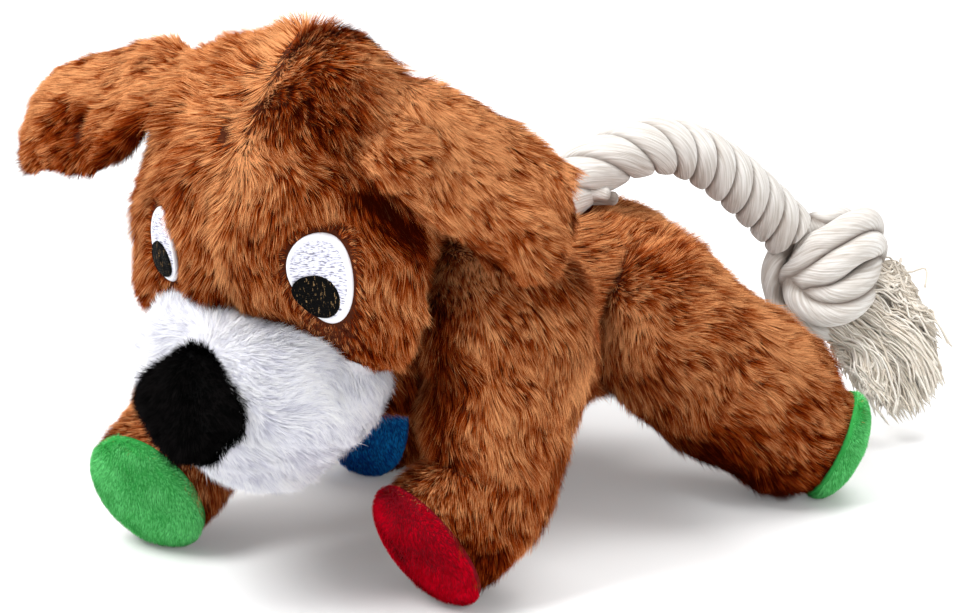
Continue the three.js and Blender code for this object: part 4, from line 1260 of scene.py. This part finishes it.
# Spots of tone on the left legs. Painted shade: on the foreleg beside the muzzle and under the ear's lower
# edge, and low on the hind leg near the floor. The rest are paler or deeper spots.
leg_tone_and_painted_light_spots = {
    "front_left": [((55.5, -53, 119), 8, 0.28), ((49, -61, 97), 13, -0.50), ((51, -63.5, 72), 14, -0.50),
                   ((70, -48, 119), 8, -0.32), ((79, -36, 117), 8, -0.32), ((80, -60, 17), 18, -0.30),
                   ((85, -42, 101), 16, 0.08), ((89, -21, 82), 10, 0.28)],
    "hind_left": [((69, 71, 24), 17, -0.36), ((82, 79, 17), 17, -0.40), ((51, 65, 95), 12, -0.22),
                  ((38.6, 48, 70), 9, 0.22), ((72, 66, 80), 14, 0.06)],
}
leg_tones = {"front": -0.02, "hind": -0.09}


def put_leg(place, sign, rings, sole, facing, pad_half, colour, seed):
    """A leg's skin, flat on the flank, clear of the head and pressed on the floor. Its pile runs away
    from a place on the flank, and is cut short at the sole, where a crowned pad closes the leg."""
    end, side = place.split("_")
    name = f"{end}_leg_{side}"
    start = home + np.array(pile_starts[end]) * [sign, 1, 1]
    inner = home[0] + sign * (flank + flank_gap)
    rings[..., 0] = np.maximum(rings[..., 0], inner) if sign > 0 else np.minimum(rings[..., 0], inner)
    rings = out_of(rings, head_middle, head_reach, head_gap)
    rings[..., 2] = np.maximum(rings[..., 2], skin_floor)
    base = closed_tubes(f"{name}_skin", [rings], brown_back)

    def leg_bare(places, normals):
        """None grow where the leg lies on the flank, but for a border that closes the seam."""
        return ((np.abs(places[:, 0] - home[0]) < flank + seam_border) & (np.abs(normals[:, 0]) > 0.8)
                & (from_seat(places, leg_seats[end]) < 0.8))

    def leg_local(places, normals):
        """Shorter and deeper in colour to the sole, with the leg's spots of tone, among them painted shade.
        """
        gone = (sole - places) @ facing
        paler = -0.13 * (1 - eased(gone, 0.0, 0.030)) + tone_and_painted_light(places, leg_tone_and_painted_light_spots.get(place, []))
        return 0.62 + 0.38 * eased(gone, 0.0, 0.018), 0.0, paler + leg_tones[end]

    fur = pile(f"{name}_pile", base, lambda p: p - start, brown_fur, count=158000, length=0.0082, seed=seed,
               bare=leg_bare, local=leg_local)
    dress(name, name, base, fur)

    up = unit([0, 0, 1] - facing * facing[2])
    across = np.cross(up, facing)
    nap, cloth = pad_cloths[colour]
    half = np.asarray(pad_half) - pad_inset

    def oval(turn):
        """The pad's outline, in a little from the sole's."""
        return half[0] * np.cos(turn), half[1] * np.sin(turn)

    rings = crowned(sole + pad_lift * facing, facing, oval, pad_rim, pad_crown - pad_flatter)
    rings[..., 2] = np.maximum(rings[..., 2], skin_floor)
    base = closed_tubes(f"pad_{place}_cloth", [rings], cloth)
    brushed = 0.35 * across - up
    # The nap takes a weaker painted highlight on its upward side, and the same painted shade near the floor.
    fur = pile(f"pad_{place}_nap", base, lambda p: brushed + 0 * p, nap, count=36000, length=0.0020,
               seed=seed + 20, lean=0.42, thick=0.0003, clump=0.0020, pull=0.2, strand_size=0.0008,
               strand_pull=0.3, bare=lambda p, n: (n @ facing) < -0.2, bend=0.7, top_light=0.10)
    dress(f"paw_pad_{place}", name, base, fur)


shoulder_out, foreleg_out, ankle_r = 0.023, 0.025, 0.025
front_half = (0.023, 0.027)
forearm_r = ankle_r + 0.4 * (shoulder_r - ankle_r)
front_radii = np.array([shoulder_r, shoulder_r, forearm_r, ankle_r])
for place, sign, (x, y), facing, colour, seed in (
        ("front_left", 1, (0.056, -0.068), (-0.18, -0.84, -0.5), "red", 601),
        ("front_right", -1, (-0.058, -0.092), (0.12, -0.87, -0.48), "green", 602)):
    facing = unit(facing)
    sole = home + [x, y, sole_height(facing, front_half[1])]
    ankle = sole - facing * front_half[1]
    top = home + shoulder + [sign * flank, 0, shoulder_r]
    knee = (home + shoulder + ankle) / 2
    knee[0] = home[0] + sign * (flank + foreleg_out)
    path = [top, home + shoulder + [sign * (flank + shoulder_out), 0, 0], knee, ankle, sole]
    across, deep = (np.r_[front_radii, half] - skin_inset for half in front_half)
    rings = stuffed(path, across, deep, (1, 0, 0), 0.2, 0)
    put_leg(place, sign, rings, sole, facing, front_half, colour, seed)

# Hind legs
# Thick thighs that taper to a small round sole: the left one stretched back and outwards with a green
# pad, the right one tucked forward under the body with a blue pad.
hip_out, hind_r = 0.010, 0.020
calf_shape = [([0.082, 0.112, 0.048], 0.0130, (0.002, 0.004, 0.006)),
              ([0.066, 0.100, 0.088], 0.030, (-0.002, -0.003, -0.004))]
for place, sign, (x, y), facing, calf_r, heel_r, taller, colour, seed, shaped in (
        ("hind_left", 1, (0.096, 0.116), (0.66, 0.62, -0.42), 0.0345, 0.026, 0.002, "green", 701, calf_shape),
        ("hind_right", -1, (-0.054, 0.022), (0.1, -0.99, 0.0), 0.031, 0.022, 0.004, "blue", 702, [])):
    facing = unit(facing)
    sole = home + [x, y, sole_height(facing, hind_r) + taller]
    ankle = sole - facing * hind_r
    joint = home + hip + [sign * (flank + hip_out), 0, 0]
    run = unit(ankle - joint)
    path = [joint - run * hip_r * 0.9, joint, (joint + ankle) / 2, ankle, sole]
    radii = np.array([hip_r, hip_r, calf_r, heel_r, hind_r]) - skin_inset
    rings = stuffed(path, radii + np.array([0, 0, 0, taller, taller]), radii, (0, 0, 1), 0.2, 0)
    for place_on, radius, move in shaped:
        rings = rings + np.array(move) * bell(rings - home, place_on, radius)[..., None]
    put_leg(place, sign, rings, sole, facing, (hind_r, hind_r + taller), colour, seed)

# Squeaker
# A pleated bulb of soft plastic with a hard reed in its neck, inside the filling.
moulded = Finish("squeaker_plastic")
grain = moulded.noise(0.0006)
moulded_finish = moulded.surface(
    Base_Color=moulded.mixed(moulded.noise(0.01), (0.74, 0.70, 0.60), (0.84, 0.81, 0.72)),
    Roughness=0.35 + 0.2 * grain, bump=0.00002 * grain)
for node in ("squeaker_bulb", "squeaker_reed"):
    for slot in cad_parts[node].material_slots:
        slot.link = "OBJECT"
        slot.material = moulded_finish
